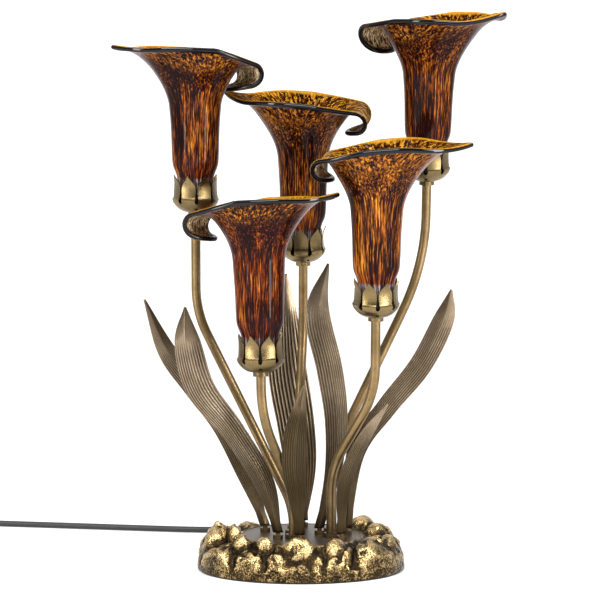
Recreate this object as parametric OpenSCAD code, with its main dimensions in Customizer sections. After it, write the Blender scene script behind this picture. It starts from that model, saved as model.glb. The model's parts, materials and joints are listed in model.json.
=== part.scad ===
// Accent lamp with five glass calla lilies on bent brass stems, seven ribbed brass leaves
// and a cast base shaped like a heap of rocks. Millimetres, +Z up.
// The origin is the centre of the underside, on the surface that the lamp stands on.

/* [Base] */
// Length of the cast base from side to side
base_len = 190; // [170:1:230]
// Depth of the cast base from front to back
base_dep = 142; // [130:1:180]
// Usual height of the rocks over the table
rock_h = 27; // [24:1:34]
// Wall of the casting
casting_wall = 3.5; // [2.5:0.5:6]
// Thickness of the felt under the base
felt_t = 1.6; // [1:0.2:4]
// Diameter of the flat plate that carries the stems
plate_d = 108; // [100:1:114]
// Thickness of that plate
plate_t = 2.4; // [1.5:0.1:4]
// Height of the top of the plate over the table
plate_top = 32; // [28:1:38]

/* [Stems] */
// Outside diameter of the stem tube
stem_d = 8.6; // [7.5:0.1:10]
// Wall of the stem tube
stem_wall = 1.1; // [0.7:0.1:1.4]
// Radius of the lower bend in each stem
bend_low = 75; // [50:1:90]
// Width across the flats of the stem nuts
nut_flat = 13; // [12:0.5:16]
// Height of a nut
nut_h = 4; // [3:0.5:6]

/* [Calyx cups] */
// Diameter of a cup at its sharp waist
waist_d = 43; // [41:0.5:50]
// Height of the bowl under the waist
bowl_h = 12.2; // [11:0.2:15]
// Thickness of the sheet brass
cup_wall = 1.1; // [0.8:0.1:1.4]
// Height of the petals over the waist
petal_h = 21.5; // [17:0.5:26]
// Number of petals round a cup
petal_count = 8; // [7:1:10]
// Width of the slot between two petals
petal_slot = 1.9; // [1.2:0.1:3]
// Diameter of the vent holes in the bowl
vent_d = 3; // [2:0.1:4]
// Diameter of the collar under a cup
collar_d = 14; // [12.5:0.5:16]
// Height of that collar
collar_h = 3.7; // [3:0.1:6]

/* [Lily shades] */
// Height of the glass from its seat to the mouth
glass_h = 139; // [128:1:160]
// Diameter of the neck that stands in the cup
neck_d = 33; // [31:0.5:34]
// Height of the neck
neck_h = 24; // [18:0.5:26]
// Diameter of the body where the trumpet starts to open
body_d = 47; // [45:0.5:54]
// Wall of the glass
glass_wall = 2.6; // [2:0.1:3.2]
// Half the width of the mouth, square to its length
mouth_half = 46; // [40:1:52]

/* [Sockets and bulbs] */
// Height of a lampholder over the floor of its cup
socket_h = 58; // [50:1:64]
// Outside diameter of a lampholder
socket_d = 19; // [17:0.5:22]
// Diameter of the bulb's screw cap, small candelabra size
cap_d = 11.9; // [11:0.1:12.5]
// Height of the screw cap
cap_h = 17; // [15:0.5:19]
// Largest diameter of the bulb
bulb_d = 21; // [17:0.5:24]
// Height of the bulb's glass
bulb_h = 47; // [38:1:50]
// Outside diameter of the threaded pipe through stem and cup
pipe_d = 6; // [5.5:0.1:6.2]

/* [Leaves] */
// Thickness of the leaf metal
leaf_t = 1.3; // [1:0.1:2]
// Height of the ribs on a leaf
rib_h = 0.5; // [0.2:0.1:0.9]
// Diameter of the stud under a leaf
stud_d = 4.4; // [3.6:0.2:5.4]

/* [Cord] */
// Diameter of the round mains cord
cord_d = 6; // [5.6:0.1:6.2]
// Length of the tapered sleeve where the cord leaves the base
sleeve_len = 28; // [22:1:36]
// Length of the switch on the cord
switch_len = 58; // [50:1:70]
// Width of the switch
switch_w = 25; // [22:1:32]
// Turns in the coil of spare cord
coil_turns = 5.25; // [5.25:1:6.25]

/* [Hidden] */
clear = 0.25;                       // running and seating clearance
play = 0.3;                         // between parts on different bodies
fine = 64;                          // facets of the true curves
stem_bore = stem_d - 2 * stem_wall;
plate_low = plate_top - plate_t;
casting_low = felt_t;

// Where the waist of each cup stands, its height over the lowest one in heights of the glass,
// how it leans to the viewer and to the right, and which way the tip of its glass points
low_waist = 200.5;
flowers = [
    [[-96, 10, 1.004], [1.6, 0], 199],
    [[2, 50, 0.658], [7, 0], 175],
    [[-36, -50, 0], [-1.3, -1], -16],
    [[67, -40, 0.349], [5, 0.3], -10],
    [[115.5, 25, 1.205], [7.3, 0.6], -39]
];
// Each glass is blown by hand: how much taller it is than usual, reach of its tip, rise of
// the tip, arch of the long sides, where the roll starts, radius of the roll, slope of the
// tongue that runs to it, and flat end after it
lips = [
    [-1, 78, 4.5, 3.5, 45, 8.7, 16, 16],
    [0, 71, 8.5, 4.5, 50, 8.7, 6, 11],
    [3.5, 73.5, 6, 2, 50, 9.3, 12.5, 9],
    [-2, 83, 10.5, 9.5, 45, 8, 5.5, 6],
    [-2.5, 80, 12.5, 5.5, 45.5, 11.5, 7, 1]
];
// Each stem: its foot on the plate, the height of its lower corner, the length from its
// upper corner to the cup and the radius of its upper bend
stems = [
    [[-7, 2], 57, 88, 95],
    [[-5, 24], 74, 62, 95],
    [[-7, -19], 73, 36, 95],
    [[27.4, -12], 94, 67, 95],
    [[28.5, 12], 102, 75, 180]
];
// Each leaf: its turn from facing the viewer, how deep it is folded, and the points that its
// middle line passes, from the foot to the tip, each with the width there
leaves = [
    [14, 3, [[-33, 13, 0, 6], [-50, 18, 84, 17], [-72, 22, 130, 20], [-98, 25, 165, 21],
        [-124, 28, 199, 17], [-144.5, 30, 246, 2]]],
    [-10, 5, [[-21, -22, 0, 6], [-34, -24, 84, 19], [-62, -25, 131, 22], [-91, -25, 169, 27],
        [-103, -24, 212, 24], [-104.5, -23, 244, 2]]],
    [0, 3, [[2, 39, 0, 6], [0, 43, 86, 28], [-5, 52, 128, 35], [-13, 65, 178, 36],
        [-15, 74, 228, 23], [-14, 78, 266, 2]]],
    [8, 5, [[-1, -34, 0, 6], [-4, -39, 78, 17], [-6, -41, 102, 22], [-5, -41, 128, 21],
        [-1.5, -41, 151, 14], [3, -41, 175, 2]]],
    [18, 5, [[17, 0, 0, 6], [30, 1, 90, 16], [33, 3, 138, 22], [27, 9, 184, 25],
        [16, 17, 236, 23], [25, 20, 280, 2]]],
    [-14, 4, [[42, 0, 0, 6], [50, 0, 108, 17], [78, 0, 150, 19], [109, 0, 189, 21],
        [130, 0, 231, 19], [137, 0, 258, 2]]],
    [26, 4, [[37, -27, 0, 6], [38, -28, 70, 12], [42, -29, 90, 15], [50, -31, 111, 15],
        [62, -33, 133, 12], [78, -34, 157, 2]]]
];
leaf_start = plate_top + nut_h + 2; // height where the leaf metal starts over its stud

// The feet of the leaves are laid out on a plate this wide and keep their share of another
layout_d = 108;
function leaf_foot(l) = [l[2][0][0], l[2][0][1]] * plate_d / layout_d;

// Vectors
function unit(v) = v / norm(v);
function mix(a, b, k) = a + (b - a) * k;
function ease(k) = k <= 0 ? 0 : k >= 1 ? 1 : k * k * (3 - 2 * k);
function wrap(k, n) = (k + n) % n;

// Frame of a flower head: the origin is the underside of the cup, on its own leaning axis
function head_axis(f) = let (a = f[1][0], b = f[1][1])
    [cos(a) * sin(b), -sin(a), cos(a) * cos(b)];
function waist(f) = [f[0].x, f[0].y, low_waist + f[0].z * glass_h];
function head_at(f) = waist(f) - bowl_h * head_axis(f);
module at_head(f) {
    translate(head_at(f)) rotate([f[1][0], f[1][1], 0]) children();
}

// Triangles over a grid of points: columns run round, rows join each other and the last
// row joins the first when the skin is closed both ways
function grid_faces(rows, cols, loops) = [
    for (i = [0 : loops ? rows - 1 : rows - 2]) for (j = [0 : cols - 1])
        let (a = i * cols + j, b = i * cols + wrap(j + 1, cols),
             c = wrap(i + 1, rows) * cols + wrap(j + 1, cols), d = wrap(i + 1, rows) * cols + j)
        for (tri = [[a, c, b], [a, d, c]]) tri
];
function flat_list(grid) = [for (row = grid) for (p = row) p];
function turned(row) = [for (k = [len(row) - 1 : -1 : 0]) row[k]];

// Tube swept along points, none of whose stretches is upright
function tangent(path, k) = let (n = len(path))
    unit(path[min(k + 1, n - 1)] - path[max(k - 1, 0)]);
module swept_tube(path, radius, sides) {
    rings = [for (k = [0 : len(path) - 1])
        let (t = tangent(path, k), u = unit(cross(t, [0, 0, 1])), v = cross(u, t))
        [for (j = [0 : sides - 1]) let (a = 360 * (j + 0.5) / sides)
            path[k] + radius * (cos(a) * u + sin(a) * v)]];
    last = (len(path) - 1) * sides;
    polyhedron(flat_list(rings), concat(grid_faces(len(path), sides, false),
        [for (j = [1 : sides - 2]) [0, j, j + 1]],
        [for (j = [1 : sides - 2]) [last, last + j + 1, last + j]]));
}

// Centre line of a tube with two bends: an arc of radius r at corner b
bend_steps = 5;
function bend_cut(a, b, c, r) = let (u = unit(b - a), v = unit(c - b)) r * tan(acos(u * v) / 2);
function bend_points(a, b, c, r) = let (
    u = unit(b - a), v = unit(c - b), turn = acos(u * v), n = unit(v - (u * v) * u),
    o = b - bend_cut(a, b, c, r) * u + r * n)
    [for (k = [0 : bend_steps]) let (h = turn * k / bend_steps) o + r * (sin(h) * u - cos(h) * n)];
function bent_line(p, high) = concat([p[0]], bend_points(p[0], p[1], p[2], bend_low),
    bend_points(p[1], p[2], p[3], high), [p[3]]);

// Hollow tube along a centre line, with its seam kept on the side that faces the viewer
stem_sides = 12;
function tube_ring(path, k, radius) = let (
    t = tangent(path, k), u = unit(cross(t, [0, 1, 0])), v = cross(u, t),
    r = radius / cos(180 / stem_sides))
    [for (j = [0 : stem_sides - 1]) let (a = 360 * j / stem_sides)
        path[k] + r * (cos(a) * u + sin(a) * v)];
module hollow_tube(path) {
    n = len(path);
    skin = concat([for (k = [0 : n - 1]) tube_ring(path, k, stem_d / 2)],
        [for (k = [n - 1 : -1 : 0]) tube_ring(path, k, stem_bore / 2)]);
    polyhedron(flat_list(skin), grid_faces(2 * n, stem_sides, true));
}

// Base: an oval ring of rocks round the plate, cast hollow
rock_cols = 54;
rock_rows = [0.14, 0.3, 0.46, 0.62, 0.76, 0.87, 0.95, 1];
// Each rock: middle, half lengths, height of its top, turn
rocks = [
    [[-75, 2], [17, 22], 44, 0], [[-60, -8], [8, 8], 38, 0], [[-52, -24], [9, 9], 34, 0],
    [[-66, -38], [20, 13], 30, 35], [[-45, -54], [14, 11], 29, 20], [[-20, -60], [15, 11], 29, 0],
    [[-33, -52], [9, 8], 31, 0], [[0, -56], [15, 13], 35, 0], [[30, -55], [17, 14], 37, -12],
    [[62, -40], [21, 17], 36, -35], [[84, -12], [14, 22], 30, -8], [[72, 16], [17, 20], 40, 15],
    [[58, 38], [15, 13], 43, 35], [[32, 57], [19, 12], 34, 10], [[2, 62], [18, 10], 31, 0],
    [[-28, 58], [17, 12], 33, -8], [[-56, 41], [19, 15], 37, -35], [[-80, 24], [14, 16], 35, -20]
];
function rock_over(p, rock) = let (
    d = p - rock[0], c = cos(rock[3]), s = sin(rock[3]),
    q = [(d.x * c + d.y * s) / rock[1].x, (d.y * c - d.x * s) / rock[1].y])
    rock[2] * (1 - 0.42 * pow(abs(q.x), 2.2) - 0.42 * pow(abs(q.y), 2.2));
function heap(p) = max(rock_h - 8, max([for (rock = rocks) rock_over(p, rock)]));
function oval(a, inset) = [(base_len / 2 - inset) * cos(a), (base_dep / 2 - inset) * sin(a)];
recess_r = plate_d / 2 + clear;
hole_r = plate_d / 2 - 5;
function ring_at(r, a, z) = [r * cos(a), r * sin(a), z];
function rock_point(a, k) = let (
    p = mix([recess_r * cos(a), recess_r * sin(a)], oval(a, 0), k),
    q = mix([recess_r * cos(a), recess_r * sin(a)], oval(a, 0), pow(k, 1.25)))
    [p.x, p.y, mix(casting_low, heap(q) * rock_h / 27, pow(1 - pow(k, 3.2), 0.55))];
function under_point(a, k) = let (
    p = mix([hole_r * cos(a), hole_r * sin(a)], oval(a, casting_wall), k))
    [p.x, p.y, mix(casting_low, plate_low - casting_wall, pow(1 - pow(k, 4), 0.5))];
casting_skin = let (turn = [for (j = [0 : rock_cols - 1]) 360 * j / rock_cols]) concat(
    [[for (a = turn) ring_at(hole_r, a, plate_low)], [for (a = turn) ring_at(recess_r, a, plate_low)],
     [for (a = turn) ring_at(recess_r, a, plate_top + 0.4)]],
    [for (k = rock_rows) [for (a = turn) rock_point(a, k)]],
    [for (k = [1, 0.9, 0.6, 0.25, 0]) [for (a = turn) under_point(a, k)]]);

// Cord exit at the back of the casting
exit_at = [10, 68, 9.5];
sleeve_step = 3;                    // from the middle of the casting's wall to each flange
module base_casting() {
    color("darkgoldenrod") difference() {
        polyhedron(flat_list(casting_skin), grid_faces(len(casting_skin), rock_cols, true));
        translate(exit_at - [0, 10, 0]) rotate([-90, 0, 0])
            cylinder(h = 20, d = cord_d + 3 + 2 * clear, $fn = 32);
    }
}

module base_plate() {
    color("dimgray") difference() {
        translate([0, 0, plate_low]) cylinder(h = plate_t, d = plate_d, $fn = 2 * fine);
        for (s = stems) translate([s[0].x, s[0].y, plate_low - 1])
            cylinder(h = plate_t + 2, d = stem_d + 2 * clear, $fn = fine);
        for (l = leaves) translate([leaf_foot(l).x, leaf_foot(l).y, plate_low - 1])
            cylinder(h = plate_t + 2, d = stud_d + 2 * clear, $fn = 32);
    }
}

module felt_pad() {
    color("darkgreen") linear_extrude(felt_t) polygon([for (k = [0 : 95]) oval(3.75 * k, 2)]);
}

// Nuts above and below the plate hold the stems and the leaf studs
module nut(flat, bore) {
    difference() {
        cylinder(h = nut_h, d = flat / cos(30), $fn = 6);
        translate([0, 0, -1]) cylinder(h = nut_h + 2, d = bore + 2 * clear, $fn = 48);
    }
}
module stem_nuts() {
    color("goldenrod") for (s = stems) translate([s[0].x, s[0].y, plate_top]) nut(nut_flat, stem_d);
}
module lock_nuts() {
    color("silver") for (s = stems)
        translate([s[0].x, s[0].y, plate_low - nut_h]) nut(nut_flat, stem_d);
}
module leaf_nuts() {
    color("goldenrod") for (l = leaves)
        translate([leaf_foot(l).x, leaf_foot(l).y, plate_top]) nut(2 * stud_d - 0.8, stud_d);
}
module leaf_studs() {
    color("goldenrod") for (l = leaves) translate([leaf_foot(l).x, leaf_foot(l).y, plate_low - nut_h])
        cylinder(h = leaf_start - plate_low + nut_h, d = stud_d, $fn = 32);
}

// Stems
function stem_path(n) = let (f = flowers[n], s = stems[n], top = head_at(f) - collar_h * head_axis(f))
    [[s[0].x, s[0].y, plate_low - nut_h - 2], [s[0].x, s[0].y, s[1]], top - s[2] * head_axis(f), top];
module stem(n) {
    color("peru") hollow_tube(bent_line(stem_path(n), stems[n][3]));
}

// Cup: a spun bowl with flat petals that stand on its rim
floor_r = collar_d / 2 + 0.5;
function bowl_r(z, inset) = floor_r - inset
    + (waist_d / 2 - floor_r) * sqrt(max(0, 1 - pow(1 - min(1, max(0, z) / bowl_h), 2)));
bowl_steps = 9;
module bowl_half(inset, lift) {
    polygon(concat([[0, lift]],
        [for (k = [0 : bowl_steps]) let (z = bowl_h * pow(k / bowl_steps, 1.6))
            [bowl_r(z, inset), mix(lift, bowl_h, pow(k / bowl_steps, 1.6))]],
        [[0, bowl_h]]));
}
petal_face = waist_d / 2 * cos(180 / petal_count);     // distance of a petal's foot from the axis
petal_w = 2 * petal_face * tan(180 / petal_count) - petal_slot;
petal_bend = 0.55 * petal_h;
module petal() {
    low_lean = 8;
    high_lean = -14;
    low = [[-petal_w / 2, -1.2], [petal_w / 2, -1.2], [petal_w / 2, 0.3 * petal_bend],
        [0.45 * petal_w, petal_bend], [-0.45 * petal_w, petal_bend], [-petal_w / 2, 0.3 * petal_bend]];
    top_h = (petal_h - petal_bend) / cos(high_lean);
    side = [[0.45, 0], [0.4, 0.25], [0.25, 0.55], [0.1, 0.8], [0.03, 1]];
    high = concat([for (p = side) [p.x * petal_w, p.y * top_h]],
        [for (p = turned(side)) [-p.x * petal_w, p.y * top_h]]);
    translate([0, -petal_face, 0]) rotate([90 - low_lean, 0, 0]) {
        translate([0, 0, -cup_wall]) linear_extrude(cup_wall) polygon(low);
        translate([0, petal_bend, 0]) rotate([low_lean - high_lean, 0, 0])
            translate([0, -0.15, -cup_wall]) linear_extrude(cup_wall) polygon(high);
    }
}
module cup() {
    difference() {
        rotate_extrude($fn = 2 * fine) bowl_half(0, 0);
        rotate_extrude($fn = 2 * fine) translate([0, 0.01]) bowl_half(cup_wall, cup_wall);
        translate([0, 0, -1]) cylinder(h = 4, d = pipe_d + 2 * clear, $fn = 48);
        for (a = [0 : 90 : 270]) rotate([0, 0, a]) translate([0.81 * waist_d / 2, 0, 0.3 * bowl_h])
            rotate([0, 138, 0]) translate([0, 0, -5]) cylinder(h = 10, d = vent_d, $fn = 24);
    }
    for (k = [0 : petal_count - 1]) rotate([0, 0, 360 * (k + 0.5) / petal_count])
        translate([0, 0, bowl_h]) petal();
}
module calyx(n) {
    color("peru") at_head(flowers[n]) cup();
}

// Collars, threaded pipes and the rings that the glass stands on
module each_head() {
    for (f = flowers) at_head(f) children();
}
module calyx_collars() {
    color("goldenrod") each_head() translate([0, 0, -collar_h]) difference() {
        cylinder(h = collar_h, d = collar_d, $fn = fine);
        translate([0, 0, -1]) cylinder(h = collar_h + 2, d = pipe_d + 2 * clear, $fn = 48);
    }
}
pipe_low = -12;
pipe_high = 8;
module stem_pipes() {
    color("silver") each_head() translate([0, 0, pipe_low]) difference() {
        cylinder(h = pipe_high - pipe_low, d = pipe_d, $fn = 48);
        translate([0, 0, -1]) cylinder(h = pipe_high - pipe_low + 2, d = pipe_d - 2, $fn = 32);
    }
}
seat_z = bowl_h - 4.6;                                  // underside of the glass
seat_t = 2;
seat_r = bowl_r((seat_z - seat_t - cup_wall) * bowl_h / (bowl_h - cup_wall), cup_wall) - 2 * clear;
module seat_rings() {
    color("black") each_head() translate([0, 0, seat_z - seat_t]) difference() {
        cylinder(h = seat_t, r = seat_r, $fn = fine);
        translate([0, 0, -1]) cylinder(h = seat_t + 2, d = socket_d + 2, $fn = fine);
    }
}

// Lampholder, and the bulb screwed into it
socket_top = cup_wall + socket_h;
foot_z = cup_wall + 1;
module socket(n) {
    color("ivory") at_head(flowers[n]) difference() {
        union() {
            translate([0, 0, cup_wall + 0.05]) cylinder(h = 2, r = floor_r - cup_wall - clear, $fn = fine);
            translate([0, 0, foot_z]) cylinder(h = socket_top - foot_z, d = 0.76 * socket_d, $fn = fine);
            translate([0, 0, socket_top - 0.62 * socket_h])
                cylinder(h = 0.62 * socket_h, d = socket_d, $fn = fine);
            translate([0, 0, foot_z]) cylinder(h = 4, d = socket_d - 2, $fn = fine);
        }
        cylinder(h = pipe_high + 1, d = pipe_d + 2 * clear, $fn = 48);
        cylinder(h = socket_top, d = pipe_d - 2, $fn = 32);
        translate([0, 0, socket_top - cap_h]) cylinder(h = cap_h + 1, d = cap_d + 2 * play, $fn = 48);
    }
}
cap_z = socket_top - cap_h + play;
module bulb_cap(n) {
    color("silver") at_head(flowers[n]) translate([0, 0, cap_z]) {
        cylinder(h = 2, d1 = 0.35 * cap_d, d2 = 0.5 * cap_d, $fn = 48);
        translate([0, 0, 2]) cylinder(h = cap_h - 1, d = cap_d, $fn = 48);
    }
}
module bulb_outline(inset) {
    neck = 0.46 * cap_d - inset;
    polygon([[0, inset], [neck, inset], [neck, 5], [0.36 * bulb_d - inset, 10],
        [bulb_d / 2 - inset, 20], [bulb_d / 2 - inset, 26], [0.44 * bulb_d - inset, 0.7 * bulb_h],
        [0.33 * bulb_d - inset, 0.84 * bulb_h], [0.18 * bulb_d - inset / 2, 0.95 * bulb_h - inset],
        [0, bulb_h - inset]]);
}
module bulb_glass(n) {
    color("white") at_head(flowers[n]) translate([0, 0, cap_z + cap_h + 1])
        rotate_extrude($fn = fine) difference() {
            bulb_outline(0);
            bulb_outline(0.9);
        }
}

// Glass lily. The skin is laid out in three parts: the round body, the trumpet that opens to
// a ring, and the lip, which runs out to a leaf-shaped edge: a pointed tip on one side, and a
// long oval tongue on the other that is rolled down and under about an axis across the flower.
lily_turn = [for (t = [0 : 15 : 75]) t, for (t = [90 : 12 : 270]) t, for (t = [285 : 15 : 345]) t];
lily_cols = len(lily_turn);
ring_r = mouth_half - 7;            // where the trumpet ends and the lip starts
lip_share = 0.1;                    // heights of the lip and of the whole trumpet, as
trumpet_share = 0.36;               // shares of the height of the glass
shoulder_h = 13;                    // height in which the neck widens into the body
roll_end = 168;                     // direction in which the roll ends, from level
roll_ease = 120;                    // turn over which the roll settles to its own radius
body_rows = [[neck_d / 2, 0], [neck_d / 2, neck_h], [0.45 * body_d, neck_h + shoulder_h]];
trumpet_rows = [0, 0.3, 0.65, 1];
lip_rows = [0.14, 0.3, 0.48, 0.66, 0.84, 1];
function mouth(l) = glass_h + l[0];
function ring_z(l) = mouth(l) - lip_share * glass_h;
function trumpet_z(l) = mouth(l) - trumpet_share * glass_h;
function trumpet_point(t, q, l) = let (r = mix(body_d / 2, ring_r, pow(q, 1.8)))
    [r * cos(t), r * sin(t), mix(trumpet_z(l), ring_z(l), q)];
function arch(t, l) = l[3] * pow(max(0, cos(min(t, 360 - t) - 70)), 4);
function tip_point(t, e, l) = let (
    x = mix(ring_r, l[1], e) * cos(t),
    y = mix(ring_r * sin(t), sign(sin(t)) * mouth_half * pow(abs(sin(t)), 1.54), e),
    k = max(0, l[1] * cos(t) - mouth_half) / (l[1] - mouth_half),
    climb = 1 - pow(1 - e, mix(1.15, 2.2, cos(t))))
    [x, y, mix(ring_z(l), mouth(l) + l[2] * k * k + arch(t, l), climb)];
function sunk(x, l) = tan(l[6]) * max(0, min(l[4], -x) - 6);
function rolled(p, lift, l) = let (
    s = -l[4] - p.x, a = min(s / l[5] * 180 / PI, roll_end - l[6]), b = a + l[6],
    flat = s - a * PI / 180 * l[5], r = l[5] + lift * (1 - ease(a / roll_ease)),
    cx = -l[4] + l[5] * sin(l[6]), cz = mouth(l) - sunk(-l[4], l) - l[5] * cos(l[6]))
    s <= 0 ? p : [cx - r * sin(b) - flat * cos(b), p.y, cz + r * cos(b) - flat * sin(b)];
function tongue_point(t, e, l) = let (
    far = l[4] + l[5] * (roll_end - l[6]) * PI / 180 + l[7],
    x = mix(ring_r, far, e) * cos(t), y = mix(ring_r, mouth_half, e) * sin(t),
    steep = 2 * (far - ring_r) / (l[4] - ring_r),
    climb = 1 - pow(1 - e, mix(1.15, steep, cos(t) * cos(t))),
    level = mouth(l) - sunk(x, l), z = mix(ring_z(l), level + arch(t, l), climb))
    rolled([x, y, z], z - level, l);
function lily_skin(l) = concat(
    [for (b = body_rows) [for (t = lily_turn) [b.x * cos(t), b.x * sin(t), b.y]]],
    [for (q = trumpet_rows) [for (t = lily_turn) trumpet_point(t, q, l)]],
    [for (e = lip_rows) [for (t = lily_turn) cos(t) >= 0 ? tip_point(t, e, l) : tongue_point(t, e, l)]]);
function skin_normal(grid, i, j) = let (n = len(grid), m = len(grid[0]),
    u = grid[i][wrap(j + 1, m)] - grid[i][wrap(j - 1, m)],
    v = grid[min(i + 1, n - 1)][j] - grid[max(i - 1, 0)][j])
    unit(cross(u, v));
module lily(l) {
    skin = lily_skin(l);
    lining = [for (i = [0 : len(skin) - 1]) [for (j = [0 : lily_cols - 1])
        skin[i][j] - glass_wall * skin_normal(skin, i, j)]];
    points = concat(skin, turned(lining));
    polyhedron(flat_list(points), grid_faces(len(points), lily_cols, true));
}
module shade(n) {
    f = flowers[n];
    color("saddlebrown") at_head(f) translate([0, 0, seat_z]) rotate([0, 0, f[2]]) lily(lips[n]);
}

// Leaf: a ribbed blade along a curve, folded along its middle, on a narrow foot
leaf_steps = 12;
leaf_lanes = 8;
function leaf_knot(l, i) = let (c = l[2][min(5, max(0, i))], foot = leaf_foot(l))
    i <= 0 ? [foot.x, foot.y, leaf_start, c[3]] : c;
function along_leaf(l, k) = let (q = min(4.999, 5 * k), i = floor(q), h = q - i,
    a = leaf_knot(l, i - 1), b = leaf_knot(l, i), c = leaf_knot(l, i + 1), d = leaf_knot(l, i + 2))
    b + h / 2 * ((c - a) + h * ((2 * a - 5 * b + 4 * c - d) + h * (3 * b - a - 3 * c + d)));
function place(v) = [v[0], v[1], v[2]];
function leaf_section(l, k, side) = let (
    p = along_leaf(l, k), way = place(along_leaf(l, min(1, k + 0.01)) - along_leaf(l, max(0, k - 0.01))),
    t = unit(mix([0, 0, 1], unit(way), ease(4 * k))),
    flat = [cos(l[0]), sin(l[0]), 0], n = unit(cross(flat, t)), u = cross(t, n),
    w = max(1.6, p[3]), fold = l[1] * min(1, w / 20))
    [for (i = [0 : leaf_lanes]) let (s = 2 * i / leaf_lanes - 1,
        rib = (i % 2 == 0 ? 1 : -1) * rib_h / 2 * ease(4 * k) * ease(5 * (0.86 - k)))
        place(p) + u * s * w / 2 + n * (fold * (0.5 - pow(abs(s), 1.2)) + rib
            + side * mix(0.9, leaf_t / 2, ease(3 * k)))];
module leaf(n) {
    l = leaves[n];
    span = [for (k = [0 : leaf_steps]) concat(leaf_section(l, k / leaf_steps, 1),
        turned(leaf_section(l, k / leaf_steps, -1)))];
    wide = 2 * (leaf_lanes + 1);
    last = leaf_steps * wide;
    color("peru") polyhedron(flat_list(span), concat(grid_faces(leaf_steps + 1, wide, false),
        [for (i = [0 : leaf_lanes - 1])
            for (tri = [[i, i + 1, wide - 2 - i], [i, wide - 2 - i, wide - 1 - i]]) tri],
        [for (i = [0 : leaf_lanes - 1])
            for (tri = [[i, wide - 2 - i, i + 1], [i, wide - 1 - i, wide - 2 - i]])
            [last + tri[0], last + tri[1], last + tri[2]]]));
}

// Cord: out of the back of the base, round to the left and away, then a switch and a coil
cord_z = cord_d / 2;
body_z = 9.5;                       // height of the cord's axis in the switch and the plug
sleeve_end = exit_at.y + sleeve_step + sleeve_len;
run_end = [-350, 216];
run_points = concat([[exit_at.x, sleeve_end, exit_at.z]], [
    [10, 103, 9], [10, 110, 7.4], [10, 118, 5], [9.6, 126, 3.4], [8.6, 134, 3], [6.5, 142, 3],
    [2.5, 151, 3], [-4, 160, 3], [-13, 168, 3], [-25, 174, 3], [-40, 177.5, 3], [-58, 178.5, 3],
    [-78, 178, 3], [-98, 178, 3], [-120, 180.5, 3], [-142, 184, 3], [-164, 187.8, 3],
    [-186, 191.6, 3], [-208, 195.5, 3], [-230, 199.4, 3], [-252, 203.2, 3], [-274, 207, 3],
    [-294, 210.4, 3], [-308, 212.6, 3.2], [-320, 214.2, 4.6], [-331, 215.4, 7.4],
    [-340, 216, 9.2]], [[run_end.x, run_end.y, body_z]]);
module cord_run() {
    color("black") swept_tube(run_points, cord_d / 2, 8);
}

module cord_sleeve() {
    color("black") translate([exit_at.x, exit_at.y, exit_at.z]) rotate([-90, 0, 0]) difference() {
        union() {
            translate([0, 0, sleeve_step])
                cylinder(h = sleeve_len, d1 = cord_d + 6, d2 = cord_d + 1.6, $fn = 48);
            translate([0, 0, -sleeve_step]) cylinder(h = 2 * sleeve_step, d = cord_d + 3, $fn = 48);
            translate([0, 0, -sleeve_step - 2.5]) cylinder(h = 2.5, d = cord_d + 6, $fn = 48);
        }
        translate([0, 0, -10]) cylinder(h = sleeve_len + 20, d = cord_d - 0.6, $fn = 32);
    }
}

// Switch on the cord: two moulded halves and a rocker on a pin across the cord
switch_x = run_end.x - switch_len / 2;
module at_switch() {
    translate([switch_x, run_end.y, 0]) children();
}
module switch_outline(inset) {
    square([switch_len - 2 * inset, 0.5 * switch_w - 2 * inset], center = true);
    square([0.62 * switch_len - 2 * inset, switch_w - 2 * inset], center = true);
    for (x = [-1, 1]) for (y = [-1, 1])
        translate([x * 0.31 * switch_len, y * 0.25 * switch_w])
            circle(r = 0.25 * switch_w - inset, $fn = 48);
}
rocker_len = 21;
rocker_w = 10;
rocker_swing = 8;
rocker_z = 2 * body_z - 3.5;
module switch_base() {
    color("black") at_switch() difference() {
        linear_extrude(body_z) switch_outline(0);
        translate([0, 0, 2]) linear_extrude(body_z)
            square([0.55 * switch_len, 0.5 * switch_w], center = true);
    }
}
module switch_cover() {
    color("black") at_switch() difference() {
        translate([0, 0, body_z]) linear_extrude(body_z) switch_outline(0);
        translate([0, 0, body_z - 1]) linear_extrude(body_z - 1)
            square([0.55 * switch_len, 0.6 * switch_w], center = true);
        translate([0, 0, body_z]) linear_extrude(body_z + 1)
            square([rocker_len + 2 * play + 1, rocker_w + 2 * play], center = true);
        translate([0, 0, rocker_z]) rotate([90, 0, 0])
            cylinder(h = rocker_w + 6, d = 3 + 2 * play, center = true, $fn = 32);
    }
}
module switch_rocker() {
    color("black") at_switch() translate([0, 0, rocker_z]) rotate([0, -rocker_swing, 0])
        rotate([90, 0, 0]) {
            linear_extrude(rocker_w, center = true) polygon([[-rocker_len / 2, 3.2], [0, 4.2],
                [rocker_len / 2, 3.2], [rocker_len / 2, 0.4], [4, -4], [-4, -4], [-rocker_len / 2, 0.4]]);
            cylinder(h = rocker_w + 5, d = 3, center = true, $fn = 32);
        }
}

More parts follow.
